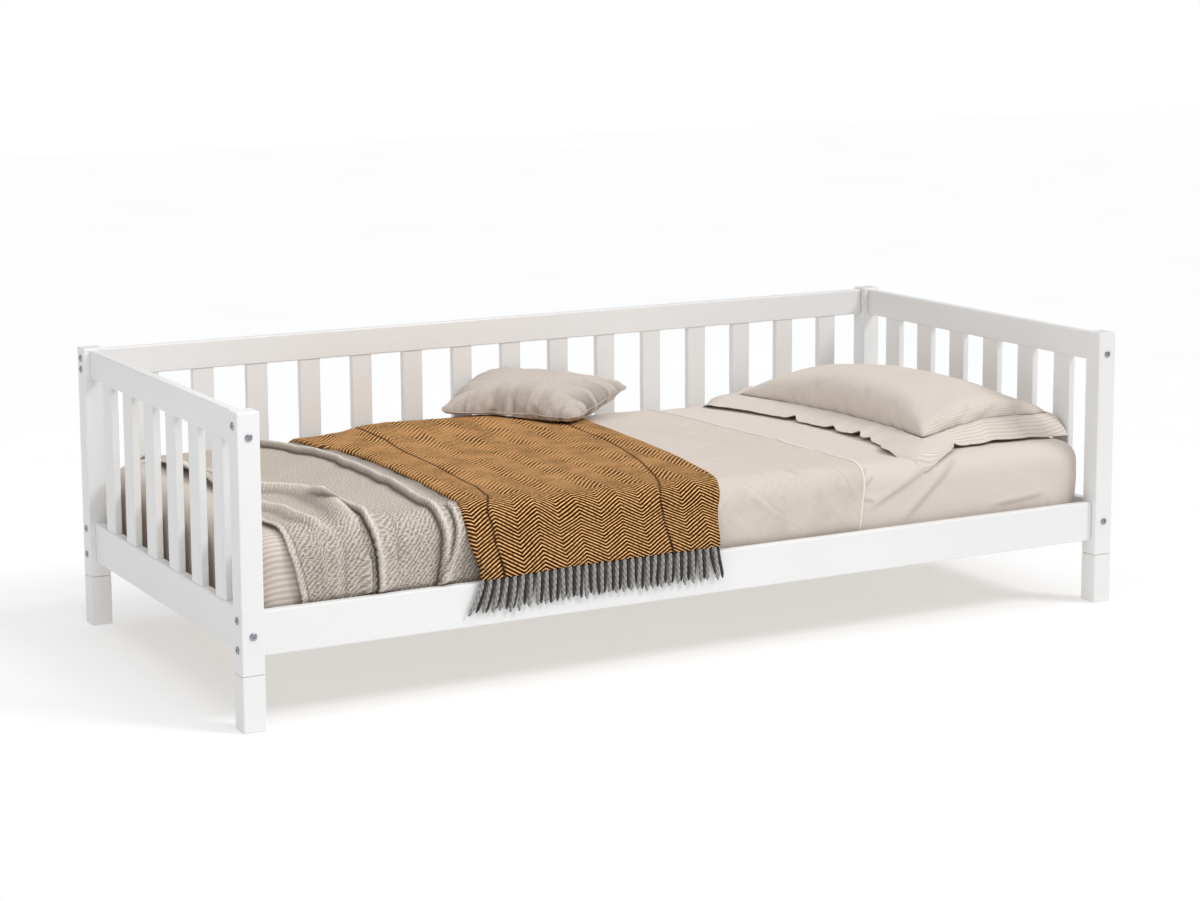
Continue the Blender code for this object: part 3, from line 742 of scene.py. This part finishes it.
def blanket_folds():
    """The folds of the blanket. Each line has points (v, x) on top of the bed, then points (height, x) down its
    front."""

    def fold(top, front, *shape, **shades):
        return Fold(top + [(v_of(z=z, lift=BLANKET_LIFT), x) for z, x in front], *shape, **shades)

    band = [(-0.47, -0.674), (-0.42, -0.662), (-0.364, -0.640), (-0.30, -0.611), (-0.22, -0.588), (-0.129, -0.574)]
    band += [(-0.002, -0.575), (0.076, -0.577), (0.169, -0.576), (0.297, -0.588), (0.385, -0.598)]
    band_front = [(0.352, -0.595), (0.326, -0.591), (0.282, -0.594), (0.236, -0.602), (BLANKET_END, -0.606)]
    tail = [(0.371, -0.562), (0.336, -0.564), (0.297, -0.573), (0.259, -0.586), (0.232, -0.595)]
    tail += [(BLANKET_END, -0.600)]
    right = [(0.150, -0.770), (0.215, -0.764), (0.262, -0.755), (0.315, -0.741), (0.382, -0.738)]
    right_front = [(0.359, -0.742), (0.328, -0.735), (0.298, -0.730), (0.258, -0.727), (0.228, -0.727)]
    right_front += [(BLANKET_END, -0.728)]
    left = [(-0.34, -0.930), (-0.10, -0.880), (0.04, -0.845), (0.084, -0.820), (0.105, -0.788), (0.131, -0.765)]
    left += [(0.197, -0.758), (0.262, -0.760), (0.347, -0.768), (0.411, -0.778)]
    left_front = [(0.345, -0.782), (0.31, -0.784)]
    lower = [(0.02, -0.905), (0.14, -0.896), (0.232, -0.882), (0.273, -0.866), (0.335, -0.864), (0.385, -0.860)]
    lower += [(0.43, -0.838), (0.47, -0.822)]
    panel = [(0.325, -0.770), (0.302, -0.770), (0.228, -0.771), (BLANKET_END, -0.771)]
    swell = [(0.36, -0.828), (0.233, -0.832), (BLANKET_END, -0.833)]
    dip = [(0.358, -0.809), (0.231, -0.811), (BLANKET_END, -0.811)]
    soft = [(0.341, -0.700), (0.282, -0.702), (0.25, -0.703)]
    by_hem = [(0.33, -0.866), (0.24, -0.858)]
    return (
        fold(band, band_front, 0.0185, 0.0120, -0.62, (0.06, 0.0), dark=0.95, light=0.75),
        fold([(0.35, -0.540), (0.39, -0.553)], tail, 0.0130, 0.0095, -0.60, (0.08, 0.0), dark=1.0, light=0.60),
        fold(right, right_front, 0.0215, 0.0120, -0.72, (0.15, 0.0), dark=1.25, light=0.80),
        fold(left, left_front, 0.0200, 0.0120, -0.15, (0.16, 0.16), 2.6, dark=0.42, light=0.75),
        fold(lower, [(0.32, -0.815)], 0.0130, 0.0110, -0.20, (0.10, 0.10), 1.8, dark=0.40, light=0.65),
        fold([], panel, 0.0100, 0.0070, 0.70, (0.035, 0.0), dark=0.75, light=0.30),
        fold([(0.40, -0.826)], swell, 0.0080, 0.0120, 0.0, (0.09, 0.03), light=0.20),
        fold([(0.42, -0.806)], dip, -0.0060, 0.0110, 0.0, (0.09, 0.03), light=-0.28),
        fold([(0.37, -0.696)], soft, -0.0065, 0.0120, 0.0, (0.06, 0.05), light=-0.24),
        fold([(0.37, -0.872), (0.44, -0.874)], by_hem, 0.0060, 0.0160, 0.3, (0.08, 0.03)),
    )


def blanket(look):
    """The folded blanket at the foot, with its ridges across the bed and down the front."""
    back, front = v_of(y=0.425), v_of(z=RAIL_TOP - 0.022, lift=BLANKET_LIFT)
    hem_v, hem_x = zip(*BLANKET_HEM)
    folds = blanket_folds()

    def ends(v):
        return np.interp(v, hem_v, hem_x), np.full(v.shape, -0.400)

    def clear(u, v):
        """How much of the folds is left: none under the throw or behind the rail."""
        under_throw = smooth((u - np.interp(v, *THROW_LEFT) - 0.004) / 0.020)
        behind = smooth((v - v_of(z=RAIL_TOP + 0.014, lift=BLANKET_LIFT)) / 0.015)
        return under_throw, behind

    def displace(u, v):
        along, out = 0 * u, 0 * u
        for fold in folds:
            push = fold.push(u, v)
            along, out = along + push[0], out + push[1]
        hem = np.interp(v, hem_v, hem_x)
        rim = 1 - smooth((u - hem - 0.010) / 0.004)
        front_side = smooth((v - 0.40) / 0.08)
        out = out + 0.0042 * rim + 0.0014
        out = out + drift(u, v, 0.10, 21) * 0.0028 + drift(u * 1.4, v * 0.35, 0.035, 22) * 0.0030 * front_side
        out = out + drift(u * 0.6 + v * 0.3, v * 1.2, 0.045, 23) * 0.0012 * (1 - front_side)
        out = out + drift(u, v, 0.011, 24, 1) * 0.0006 * front_side
        under_throw, behind = clear(u, v)
        out = np.maximum(out, 0.0) * (1 - 0.85 * under_throw) * (1 - behind) + 0.0010 * behind
        scallop = np.sin(v / SCALLOP_PITCH) * 0.0024 * front_side * bell((u - SCALLOP_X) / 0.006)
        return along * (1 - under_throw) + scallop, out

    # Painted shade at the feet of the folds, in a thin line beyond the hem's rim, behind the rail, under the throw
    # and along the throw's left edge, less painted highlights on the crests and on the hem's rim.
    def crease(u, v):
        under_throw, behind = clear(u, v)
        hem = np.interp(v, hem_v, hem_x)
        shade = sum(fold.crease(u, v) for fold in folds) * (1 - under_throw)
        shade = shade - 0.55 * bell((u - hem - 0.005) / 0.005)
        shade = shade + 0.45 * bell((u - hem - 0.0155) / 0.0025) + 0.5 * behind + 0.4 * under_throw
        edge_shade = smooth((u - np.interp(v, *THROW_LEFT) + 0.038) / 0.036) * (1 - smooth((v - 0.32) / 0.14))
        shade = shade + 0.62 * edge_shade
        return np.clip(shade, -1, 1)

    v_ends = (back, front)
    made, _ = cloth("folded_blanket_knit", look, 0.0035, v_ends, ends, BLANKET_LIFT, displace, crease=crease)
    thicken(made, BLANKET_THICK)
    return made


THROW_LEFT = (
    (-0.47, -0.42, -0.318, -0.249, -0.159, 0.057, 0.163, 0.276, 0.369, 0.44, 0.49, 0.53, 0.56),
    (-0.590, -0.575, -0.557, -0.532, -0.517, -0.520, -0.522, -0.530, -0.540, -0.553, -0.549, -0.542, -0.538),
)
THROW_RIGHT = (
    (-0.47, -0.35, -0.20, 0.0, 0.20, 0.35, 0.43, 0.52, 0.56),
    (0.128, 0.132, 0.128, 0.112, 0.084, 0.058, 0.038, 0.015, 0.010),
)
SEAM_LEFT = (
    (-0.45, -0.26, 0.0, 0.20, 0.28, 0.38, 0.44, 0.50, 0.56),
    (-0.425, -0.410, -0.431, -0.447, -0.450, -0.473, -0.503, -0.497, -0.487),
)
SEAM_RIGHT = (
    (-0.45, -0.18, -0.10, 0.02, 0.18, 0.326, 0.425, 0.45, 0.56),
    (0.070, 0.057, 0.053, 0.031, -0.009, -0.056, -0.100, -0.109, -0.103),
)
THROW_LIFT = 0.013
THROW_LEAN = 0.33
STITCH_EVERY = 1.6
FRINGE_STRANDS, FRINGE_LONG = 62, 0.070


def throw_lift(u, v):
    """How high the throw lies: over the blanket at its left, over the sheet at its right, a little heaped up at the
    back where the cushion lies on it."""
    heap = smooth((u + 0.52) / 0.22) * (1 - smooth((u + 0.12) / 0.18)) * smooth((-0.12 - v) / 0.26)
    return 0.0152 - 0.0074 * smooth((u + 0.41) / 0.10) + 0.0215 * heap


def throw(look, seam_look, fringe_looks):
    """The herringbone throw, its stitched left edge, and its fringe over the front rail."""
    back = v_of(y=0.432, lift=THROW_LIFT)
    hem = v_of(z=RAIL_TOP + 0.0085, lift=THROW_LIFT)

    def ends(v):
        return np.interp(v, *THROW_LEFT), np.interp(v, *THROW_RIGHT)

    def displace(u, v):
        left, right = ends(v)
        rim = np.minimum(u - left, right - u)
        out = 0.0052 * np.sqrt(np.clip(1 - (1 - np.clip(rim / 0.007, 0, 1)) ** 2, 0, 1)) - 0.0052
        out = out + drift(u, v * 0.7, 0.16, 31) * 0.0022 + drift(u * 1.5, v * 0.4, 0.06, 32) * 0.0008
        front_side = smooth((v - 0.42) / 0.08)
        wave = np.sin((u + 0.30) / 0.060) * np.sin(np.clip((v - 0.42) / 0.16, 0, 1) * math.pi)
        out = out + front_side * 0.0035 * wave
        for seam in (SEAM_LEFT, SEAM_RIGHT):
            out = out - 0.0016 * bell((u - np.interp(v, *seam)) / 0.004)
        return 0 * u, out

    def settle(points, u, v):
        """The last stretch leans out over the rail's top edge, so that the hem hangs just in front of it."""
        z = points[..., 2]
        hem_z = RAIL_TOP + 0.012 - 0.006 * smooth((-0.30 - u[:, -1:]) / 0.22)
        front = (v > 0.3) & (z < THROW_LEAN)
        z[front] = (THROW_LEAN - (THROW_LEAN - z) * (THROW_LEAN - hem_z) / (THROW_LEAN - z[:, -1:]))[front]
        share = smooth((THROW_LEAN - 0.005 - z) / 0.085) * front
        rail_y = RAIL_FACE - 0.0065 + drift(u, 0 * u, 0.08, 33) * 0.0012
        points[..., 1] = points[..., 1] * (1 - share) + rail_y * share
        return points

    def seams(u, v):
        return np.stack((u - np.interp(v, *SEAM_LEFT), u - np.interp(v, *SEAM_RIGHT), 0 * u), -1)

    v_ends = (back, hem)
    made, points = cloth("fringed_throw_wool", look, 0.0050, v_ends, ends, throw_lift, displace, settle, seams=seams)
    thicken(made, THROW_THICK)
    rng = np.random.default_rng(8)
    stitched = edge_stitches(points[0], seam_look, rng)
    return made, stitched, *fringe(points[:, -1], fringe_looks, rng)


def edge_stitches(edge, look, rng):
    """Whipped stitches over the throw's left edge."""
    stitches = []
    for i in np.arange(3, len(edge) - 2, STITCH_EVERY):
        j = int(i)
        run = edge[j + 1] - edge[j]
        at = edge[j] + run * (i - j)
        run /= np.linalg.norm(run)
        up = np.cross([1.0, 0.0, 0.0], -run)
        if (up[2] < 0) if abs(up[2]) > abs(up[1]) else (up[1] > 0):
            up = -up
        reach = 0.0125 + rng.uniform(-0.0015, 0.0015)
        steps = ((-0.0016, -0.001, 0), (-0.0012, 0.0042, 0), (0.0045, 0.0066, 0.00175), (reach, 0.0050, 0.0035))
        stitches.append([at + [right, 0, 0] + up * high - run * slant for right, high, slant in steps])
    return tubes("throw_edge_stitches", stitches, [STITCH_RADIUS] * len(stitches), look, sides=5)


def fringe(hem, looks, rng):
    """Twisted strands that hang from the hem: light ones in front, and near-black ones behind, between them, as
    painted shade in the gaps.
    """
    strands, radii = ([], []), ([], [])
    first, last = hem[0, 0] + 0.003, hem[-1, 0] - 0.003
    along = np.linspace(0, 1, 10)
    thick = np.interp(along, (0, 0.1, 0.88, 0.95, 1.0), (0.0026, 0.0046, 0.0041, 0.0044, 0.0018))
    for i in range(FRINGE_STRANDS):
        x = first + (last - first) * i / (FRINGE_STRANDS - 1)
        behind = i % 2
        _, y, z = hem[np.argmin(np.abs(hem[:, 0] - x))] + (0, 0.0018 * behind - 0.0016, 0.002)
        lean = rng.normal(0, 0.0028) - 0.028 * math.exp(-i / 7.0) + (0.014 if i > FRINGE_STRANDS - 4 else 0.0)
        long = FRINGE_LONG - 0.003 * behind + rng.normal(0, 0.0022)
        phase, swing = rng.uniform(0, 2 * math.pi), rng.uniform(0.0006, 0.0018)
        sway = lean * along**1.5 + swing * np.sin(phase + 5.0 * along) * along
        strands[behind].append(np.column_stack((x + sway, y - 0.0012 * np.sin(math.pi * along), z - long * along)))
        radii[behind].append(thick * (1.0 - 0.22 * behind))
    names = ("throw_fringe_light", "throw_fringe_shade")
    return [tubes(*strand, sides=7) for strand in zip(names, strands, radii, looks)]


# ---------------------------------------------------------------- pillow and cushion


BAG_GAP = 0.012
BAG_FRAMES = 40
CLOTH_SETTINGS = {
    "quality": 7,
    "mass": 0.12,
    "tension_stiffness": 12.0,
    "compression_stiffness": 12.0,
    "shear_stiffness": 6.0,
    "bending_stiffness": 0.6,
    "tension_damping": 8,
    "compression_damping": 8,
    "use_pressure": True,
}


def flat_bag(half, cells, seed, round_by):
    """Two sheets joined at their edges, slightly apart: points, faces, border order and flat places. round_by is how
    far the corners are drawn in, as a share of their place."""
    gx, gy = np.meshgrid(*(np.linspace(-h, h, n + 1) for h, n in zip(half, cells)), indexing="ij")
    out_x, out_y = np.abs(gx) / half[0], np.abs(gy) / half[1]
    edge = np.minimum(1 - out_x, 1 - out_y)
    border = edge < 1e-9
    corner = 1 - round_by * np.clip((out_x + out_y - 1.82) / 0.18, 0, 1)
    gx, gy = gx * corner, gy * corner
    lens = BAG_GAP * np.sqrt(np.clip(edge * 3, 0, 1))
    rough = drift(gx, gy, 0.035, seed) * 0.0016
    top = np.stack((gx, gy, lens + rough * (edge > 0)), -1)
    low = np.stack((gx, gy, -lens + rough), -1)[~border]
    points = np.concatenate((top.reshape(-1, 3), low))
    index = np.arange(gx.size).reshape(gx.shape)
    below = index.copy()
    below[~border] = gx.size + np.arange(len(low))

    def quads(k):
        return np.stack((k[:-1, :-1], k[1:, :-1], k[1:, 1:], k[:-1, 1:]), -1).reshape(-1, 4)

    faces = np.concatenate((quads(index), quads(below)[:, ::-1]))
    loop = np.concatenate((index[:-1, 0], index[-1, :-1], index[:0:-1, -1], index[0, :0:-1]))
    return points, faces, loop, points[:, :2].copy()


def puff(points, faces, pressure, high):
    """Blows a closed bag up with Blender's cloth until it is high enough, and returns its points."""
    body = mesh_piece("bag", points, faces, bpy.data.materials[0])
    face_out(body)
    blown = body.modifiers.new("Cloth", "CLOTH")
    for name, value in CLOTH_SETTINGS.items():
        setattr(blown.settings, name, value)
    blown.settings.uniform_pressure_force = pressure
    blown.settings.effector_weights.gravity = 0
    blown.point_cache.frame_start, blown.point_cache.frame_end = 1, BAG_FRAMES
    for step in range(1, BAG_FRAMES + 1):
        SCENE.frame_set(step)
        shown = body.evaluated_get(bpy.context.evaluated_depsgraph_get())
        flat = np.zeros(len(points) * 3, np.float32)
        shown.data.vertices.foreach_get("co", flat)
        result = flat.reshape(-1, 3).astype(float)
        if np.percentile(result[:, 2], 99.5) - np.percentile(result[:, 2], 0.5) > high:
            break
    SCENE.frame_set(1)
    bpy.data.objects.remove(body)
    return result


def bag_shape(half, cells, high, seed, pressure, round_by):
    """A blown up bag about high tall."""
    points, faces, loop, lay = flat_bag(half, cells, seed, round_by)
    points = puff(points, faces, pressure, high)
    return points, faces, loop, lay


def bed_height(y):
    """The top of the made bed under the pillow, with its rounded front and back edges."""
    over = np.clip(np.abs(y) - FLAT, 0, None)
    arc = np.sqrt(np.clip(EDGE**2 - np.minimum(over, EDGE) ** 2, 0, None))
    return TOP - EDGE + arc - np.clip(over - EDGE * 0.93, 0, None) * 3.0 + 0.0022


PILLOW_MIDDLE = (0.790, 0.006)
PILLOW_HALF = (0.190, 0.342)
PILLOW_TURN = math.radians(2.5)
PILLOW_HIGH = 0.112
FLANGE = 0.080
FLANGE_STEPS = 8
FLANGE_LOW, FLANGE_HIGH = (-9.0, -0.470), (1.0045, 0.449)
FLANGE_TENTS = ((0.100, 0.010), (-0.045, 0.008), (-0.150, 0.011), (-0.205, 0.006))


def pillow_flange(rim, flat, turn):
    """The border round the pillow: rings of points from the seam outwards, their flat places and their painted
    shades. It waves, has small tents at its left, and hangs down at the mattress's front edge, most at its near left
    corner."""
    on_x, on_y = (np.abs(np.abs(flat) - PILLOW_HALF) < 1e-6).T
    outward = np.sign(flat) * np.column_stack((on_x, on_y))
    for _ in range(2):
        outward = (np.roll(outward, 1, 0) + 2 * outward + np.roll(outward, -1, 0)) / 4
        outward /= np.maximum(np.abs(outward).max(1), 0.35)[:, None]
    corner = (np.abs(flat) / PILLOW_HALF).prod(1)
    to_left = flat[:, 0] + PILLOW_HALF[0]
    near_tip = np.clip(1 - np.hypot(to_left, flat[:, 1] + PILLOW_HALF[1]) / 0.070, 0, 1)
    far_tip = bell(np.hypot(to_left, flat[:, 1] - PILLOW_HALF[1]) / 0.03)
    wide = FLANGE * (1 - 0.38 * np.abs(outward[:, 1]) * (1 - 0.6 * corner**8)) + 0.034 * near_tip + 0.022 * far_tip
    walk = distances(flat)
    tents = sum(on_x * (flat[:, 0] < 0) * size * bell((flat[:, 1] - at) / 0.011) for at, size in FLANGE_TENTS)
    tents = tents + on_y * (flat[:, 1] < 0) * 0.010 * bell((flat[:, 0] + 0.125) / 0.008)
    ear = 0.044 * np.clip(outward[:, 1], 0, 1) * bell(to_left / 0.10) * (1 - 0.95 * far_tip)
    wave = drift(walk, 0 * walk, 0.11, 44) * 0.0024 + drift(walk, 0 * walk, 0.03, 45) * 0.0007
    # Painted shade along the seam, patchy as if from small gathers.
    seam_shade = 0.45 + 0.40 * drift(walk, 0 * walk, 0.012, 46)
    rings, flats, shades = [], [], []
    for t in np.linspace(0, 1, FLANGE_STEPS + 1):
        plan = rim[:, :2] + (outward * (wide * t * (1 - 20 * tents))[:, None]) @ turn.T
        plan = np.clip(plan, FLANGE_LOW, FLANGE_HIGH)
        rest = bed_height(plan[:, 1]) + 0.0022 + 0.0040 * t * smooth(near_tip * 3)
        plan[:, 1] -= 0.008 * smooth((EDGE - HALF_WIDE - plan[:, 1]) / EDGE)
        fall = min(t * 1.12, 1.0) ** 1.25
        hang = rim[:, 2] * (1 - fall) + rest * fall + (wave + tents + ear) * t**1.2
        rings.append(np.column_stack((plan, np.maximum(hang + 0.002 + 0.0035 * t**2, rest))))
        flats.append(flat + outward * (wide * t)[:, None])
        shades.append(seam_shade * np.exp(-t / 0.10) + 0.22 * np.exp((t - 1) / 0.06))
    rings[0] = rim
    return np.array(rings), flats, shades


def pillow(look):
    """A pillow with a flat border. The case has painted shade along its seam and its hem."""
    points, faces, loop, lay = bag_shape(PILLOW_HALF, (36, 66), 0.150, 41, 4.2, 0.0)
    a, b = (lay / PILLOW_HALF).T
    pulled = (np.clip(1 - a, 0, 2) / 2) ** 3 * (np.clip(1 + b, 0, 2) / 2) ** 4
    pushed = smooth((a + 0.9) / 0.7) * smooth((1.0 - a) / 0.3) * smooth((0.1 - b) / 1.0)
    points[:, :2] += pulled[:, None] * (-0.020, 0.042) + pushed[:, None] * (0.0, -0.017)
    seam = 0.024 + 0.025 * smooth((np.abs(lay[:, 1]) - 0.17) / 0.16) * smooth((lay[:, 0] + 0.21) / 0.24)
    z = points[:, 2]
    above, below = seam + z / z.max() * (PILLOW_HIGH - seam), seam - z * seam / z.min()
    points[:, 2] = np.where(z > 0, above, below) + TOP + 0.0028
    turn = np.array(Matrix.Rotation(PILLOW_TURN, 2))
    points[:, :2] = points[:, :2] @ turn.T + PILLOW_MIDDLE

    rings, flats, shades = pillow_flange(points[loop], lay[loop], turn)
    under = rings.copy()
    under[..., 2] -= 0.0022 * np.linspace(0.5, 1, len(rings))[:, None]
    band = np.concatenate((rings, under[::-1]))
    count = len(loop)
    round_band = grid_faces(len(band) + 1, count, wrap=True) % (len(band) * count) + len(points)
    made = mesh_piece(
        "pillow_in_case",
        np.concatenate((points, band.reshape(-1, 3))),
        np.concatenate((faces, round_band)),
        look,
        np.concatenate([lay] + flats + flats[::-1]),
    )
    # Painted shade on the body close to the seam, and on the border.
    from_seam = (PILLOW_HALF - np.abs(lay)).min(1)
    paint(made, "crease", np.concatenate([0.50 * np.exp(-from_seam / 0.007)] + shades + shades[::-1]))
    face_out(made)
    modify(made, "SUBSURF", levels=1, render_levels=1)
    return made


CUSHION_HALF = (0.197, 0.120)
CUSHION_LEFT = np.array(((-0.212, 0.408), (-0.078, 0.472)))
CUSHION_RIGHT = np.array(((0.074, 0.262), (0.276, 0.372)))
CUSHION_UP, CUSHION_DOWN = 0.058, 0.047
CUSHION_BACK, CUSHION_SOFT = 0.4475, 0.030


def cushion(look):
    """A small loose cushion with a gathered seam. It lies askew on the throw, its far left corner pushed up against
    the back panel. CUSHION_LEFT and CUSHION_RIGHT have the near and the far corner of its seam."""
    points, faces, loop, lay = bag_shape(CUSHION_HALF, (64, 40), 0.104, 51, 5.0, 0.05)
    across, deep = ((1 + points[:, [i]] / np.abs(points[:, i]).max()) / 2 for i in (0, 1))
    near, far = (CUSHION_LEFT[i] * (1 - across) + CUSHION_RIGHT[i] * across for i in (0, 1))
    plan = near * (1 - deep) + far * deep
    left, deep = 1 - across[:, 0], deep[:, 0]
    seam_height = 0.3925 + 0.042 * deep**1.2 + 0.020 * left**3 * (1 - deep) + 0.043 * left**1.3 * deep
    z = points[:, 2]
    tall = np.where(z > 0, z * CUSHION_UP / z.max(), -z * CUSHION_DOWN / z.min())
    inset = CUSHION_HALF - np.abs(lay)
    edge = inset.min(1)
    along = np.where(inset[:, 0] > inset[:, 1], lay[:, 0], lay[:, 1])
    gather = drift(along, 0.012 * edge, 0.0115, 52) * np.exp(-edge / 0.024)
    gather += 0.45 * drift(along, 0.2 * edge, 0.022, 53) * np.exp(-edge / 0.050)
    gather *= smooth((np.hypot(*inset.T) - 0.004) / 0.030) * smooth(edge / 0.006) * (1 + 0.6 * smooth(1 - left * 2))
    placed = np.column_stack((plan, seam_height + tall + gather * 0.0062 * np.sign(z)))
    over = np.clip(placed[:, 1] - CUSHION_BACK + CUSHION_SOFT, 0, None)
    placed[:, 1] += CUSHION_SOFT * np.tanh(over / CUSHION_SOFT) - over
    placed[:, 2] += 0.10 * over
    rest = TOP + throw_lift(placed[:, 0], -placed[:, 1]) + 0.0075
    sunk = rest + 0.010 - placed[:, 2]
    placed[:, 2] = np.where(sunk > 0, rest + 0.010 * np.exp(-sunk / 0.010), placed[:, 2])
    made = mesh_piece("small_cushion_cotton", placed, faces, look, lay)
    # Painted shade in the hollows of the gathers and along the seam.
    paint(made, "crease", np.clip(-gather * 0.95, 0, 0.75) + 0.25 * np.exp(-edge / 0.003))
    face_out(made)
    modify(made, "SUBSURF", levels=1, render_levels=1)
    rim = placed[loop]
    seam = tubes("small_cushion_seam", [np.vstack((rim, rim[:1]))], [SEAM_RADIUS], look)
    return made, seam


# ---------------------------------------------------------------- bolts that are looks only


BOLT_HEAD = ((0.0075, 0.0001), (0.0075, 0.0013), (0.0070, 0.0020), (0.0055, 0.0025), (0.0038, 0.0027))
SOCKET_RADIUS = 0.0026


def bolt_head(name, at, outward, look):
    """A wide low head with a hexagon socket, on a post's face. BOLT_HEAD has its rings as radius and height."""
    sides = 24
    turn = np.linspace(0, 2 * math.pi, sides, endpoint=False)
    hexagon = SOCKET_RADIUS / np.cos((turn + math.pi / 6) % (math.pi / 3) - math.pi / 6)
    rings = (*BOLT_HEAD, (hexagon, 0.0026), (hexagon, 0.0007))
    rows = [np.column_stack((r * np.cos(turn), r * np.sin(turn), np.full(sides, h))) for r, h in rings]
    axes = Vector(outward).to_track_quat("Z", "Y").to_matrix()
    points = np.concatenate(rows) @ np.array(axes).T + np.array(at)
    made = mesh_piece(name, points, capped_faces(len(rows), sides), look)
    face_out(made)
    made.data.set_sharp_from_angle(angle=math.radians(40))
    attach(made, "frame")


def extra_bolts(look):
    post_low, post_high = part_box("post_foot_front")
    half = (post_high.x - post_low.x) / 2
    x, y = -(post_low.x + half), -(post_low.y + half)
    top = post_high.z
    rail_low, rail_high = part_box("front_low_rail")
    rail = (rail_low.z + rail_high.z) / 2
    for end_name, end in (("foot", -1), ("head", 1)):
        for side_name, side, end_levels in (("front", -1, (top - 0.028,)), ("back", 1, (top - 0.023, top - 0.047))):
            for i, level in enumerate(end_levels):
                name = f"bolt_head_{end_name}_{side_name}_end_{i + 1}"
                bolt_head(name, (end * (x + half), side * y, level), (end, 0, 0), look)
            for level_name, level in (("upper", top - 0.048), ("lower", rail)):
                name = f"bolt_head_{end_name}_{side_name}_face_{level_name}"
                bolt_head(name, (end * x, side * (y + half), level), (0, side, 0), look)


# ---------------------------------------------------------------- everything together


FLOOR_HALF = 14


def main():
    make_camera()
    make_lights()

    paints = [paint_look(f"white_paint_{axis}", i) for i, axis in enumerate("xyz")]
    pine, steel = pine_look(), steel_look()
    for name, node in NODES.items():
        if name.startswith(("post", "leg", "back_spindle", "foot_spindle", "head_spindle")):
            look = paints[2]
        elif name.startswith("rail_bolt"):
            look = steel
        elif name.endswith(("ledger", "roll")):
            look = pine
        elif name.endswith("rail"):
            look = paints[0] if name.startswith(("front", "back")) else paints[1]
        else:
            continue
        for slot in node.material_slots:
            slot.material = look
    extra_bolts(steel)

    linen = linen_look("plain_linen", (0.70, 0.63, 0.565), (0.60, 0.53, 0.465), "lay")
    piping = linen_look("piping_cotton", (0.86, 0.82, 0.77), (0.78, 0.73, 0.68))
    fitted = rib_look(
        "striped_cotton_sheet", (0.715, 0.645, 0.590), (0.56, 0.480, 0.415), 0.0122, fade=(-0.84, -0.76)
    )
    case = rib_look("striped_cotton_case", (0.780, 0.710, 0.653), (0.655, 0.577, 0.515), 0.0068, "lay")
    cream = linen_look("cream_cotton", (0.620, 0.560, 0.512), (0.490, 0.428, 0.378), "lay", 0.0030)
    knit, wool, ticking = knit_look(), herring_look(), ticking_look()
    yarns = [
        yarn_look("light_grey_yarn", (0.40, 0.385, 0.365), (0.17, 0.160, 0.148), 0.013),
        # Near-black yarn: painted shade between the light strands.
        yarn_look("dark_grey_yarn", (0.075, 0.070, 0.064), (0.016, 0.015, 0.014), 0.013),
    ]
    dark_yarn = yarn_look("brown_yarn", (0.16, 0.085, 0.035), (0.05, 0.025, 0.010), 0.004)

    core, core_piping = mattress_core(ticking, piping)
    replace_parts(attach(core, "mattress"), "mattress")
    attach(core_piping, "mattress")

    cover = fitted_sheet(fitted)
    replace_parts(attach(cover, "mattress"), "fitted_sheet")

    sheet, cord = top_sheet(linen, piping)
    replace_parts(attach(sheet, "mattress"), "top_sheet")
    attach(cord, "mattress")

    folded = blanket(knit)
    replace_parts(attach(folded, "mattress"), "folded_blanket")

    laid, *trims = throw(wool, dark_yarn, yarns)
    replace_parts(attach(laid, "mattress"), "fringed_throw")
    for piece in trims:
        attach(piece, "mattress")

    cased = pillow(case)
    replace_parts(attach(cased, "pillow"), "pillow")

    small, seam = cushion(cream)
    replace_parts(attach(small, "cushion"), "small_cushion")
    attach(seam, "cushion")

    corners = [(x * FLOOR_HALF, y * FLOOR_HALF, -0.0005) for x, y in ((-1, -1), (1, -1), (1, 1), (-1, 1))]
    floor = mesh_piece("floor", corners, [(0, 1, 2, 3)], floor_look())


main()
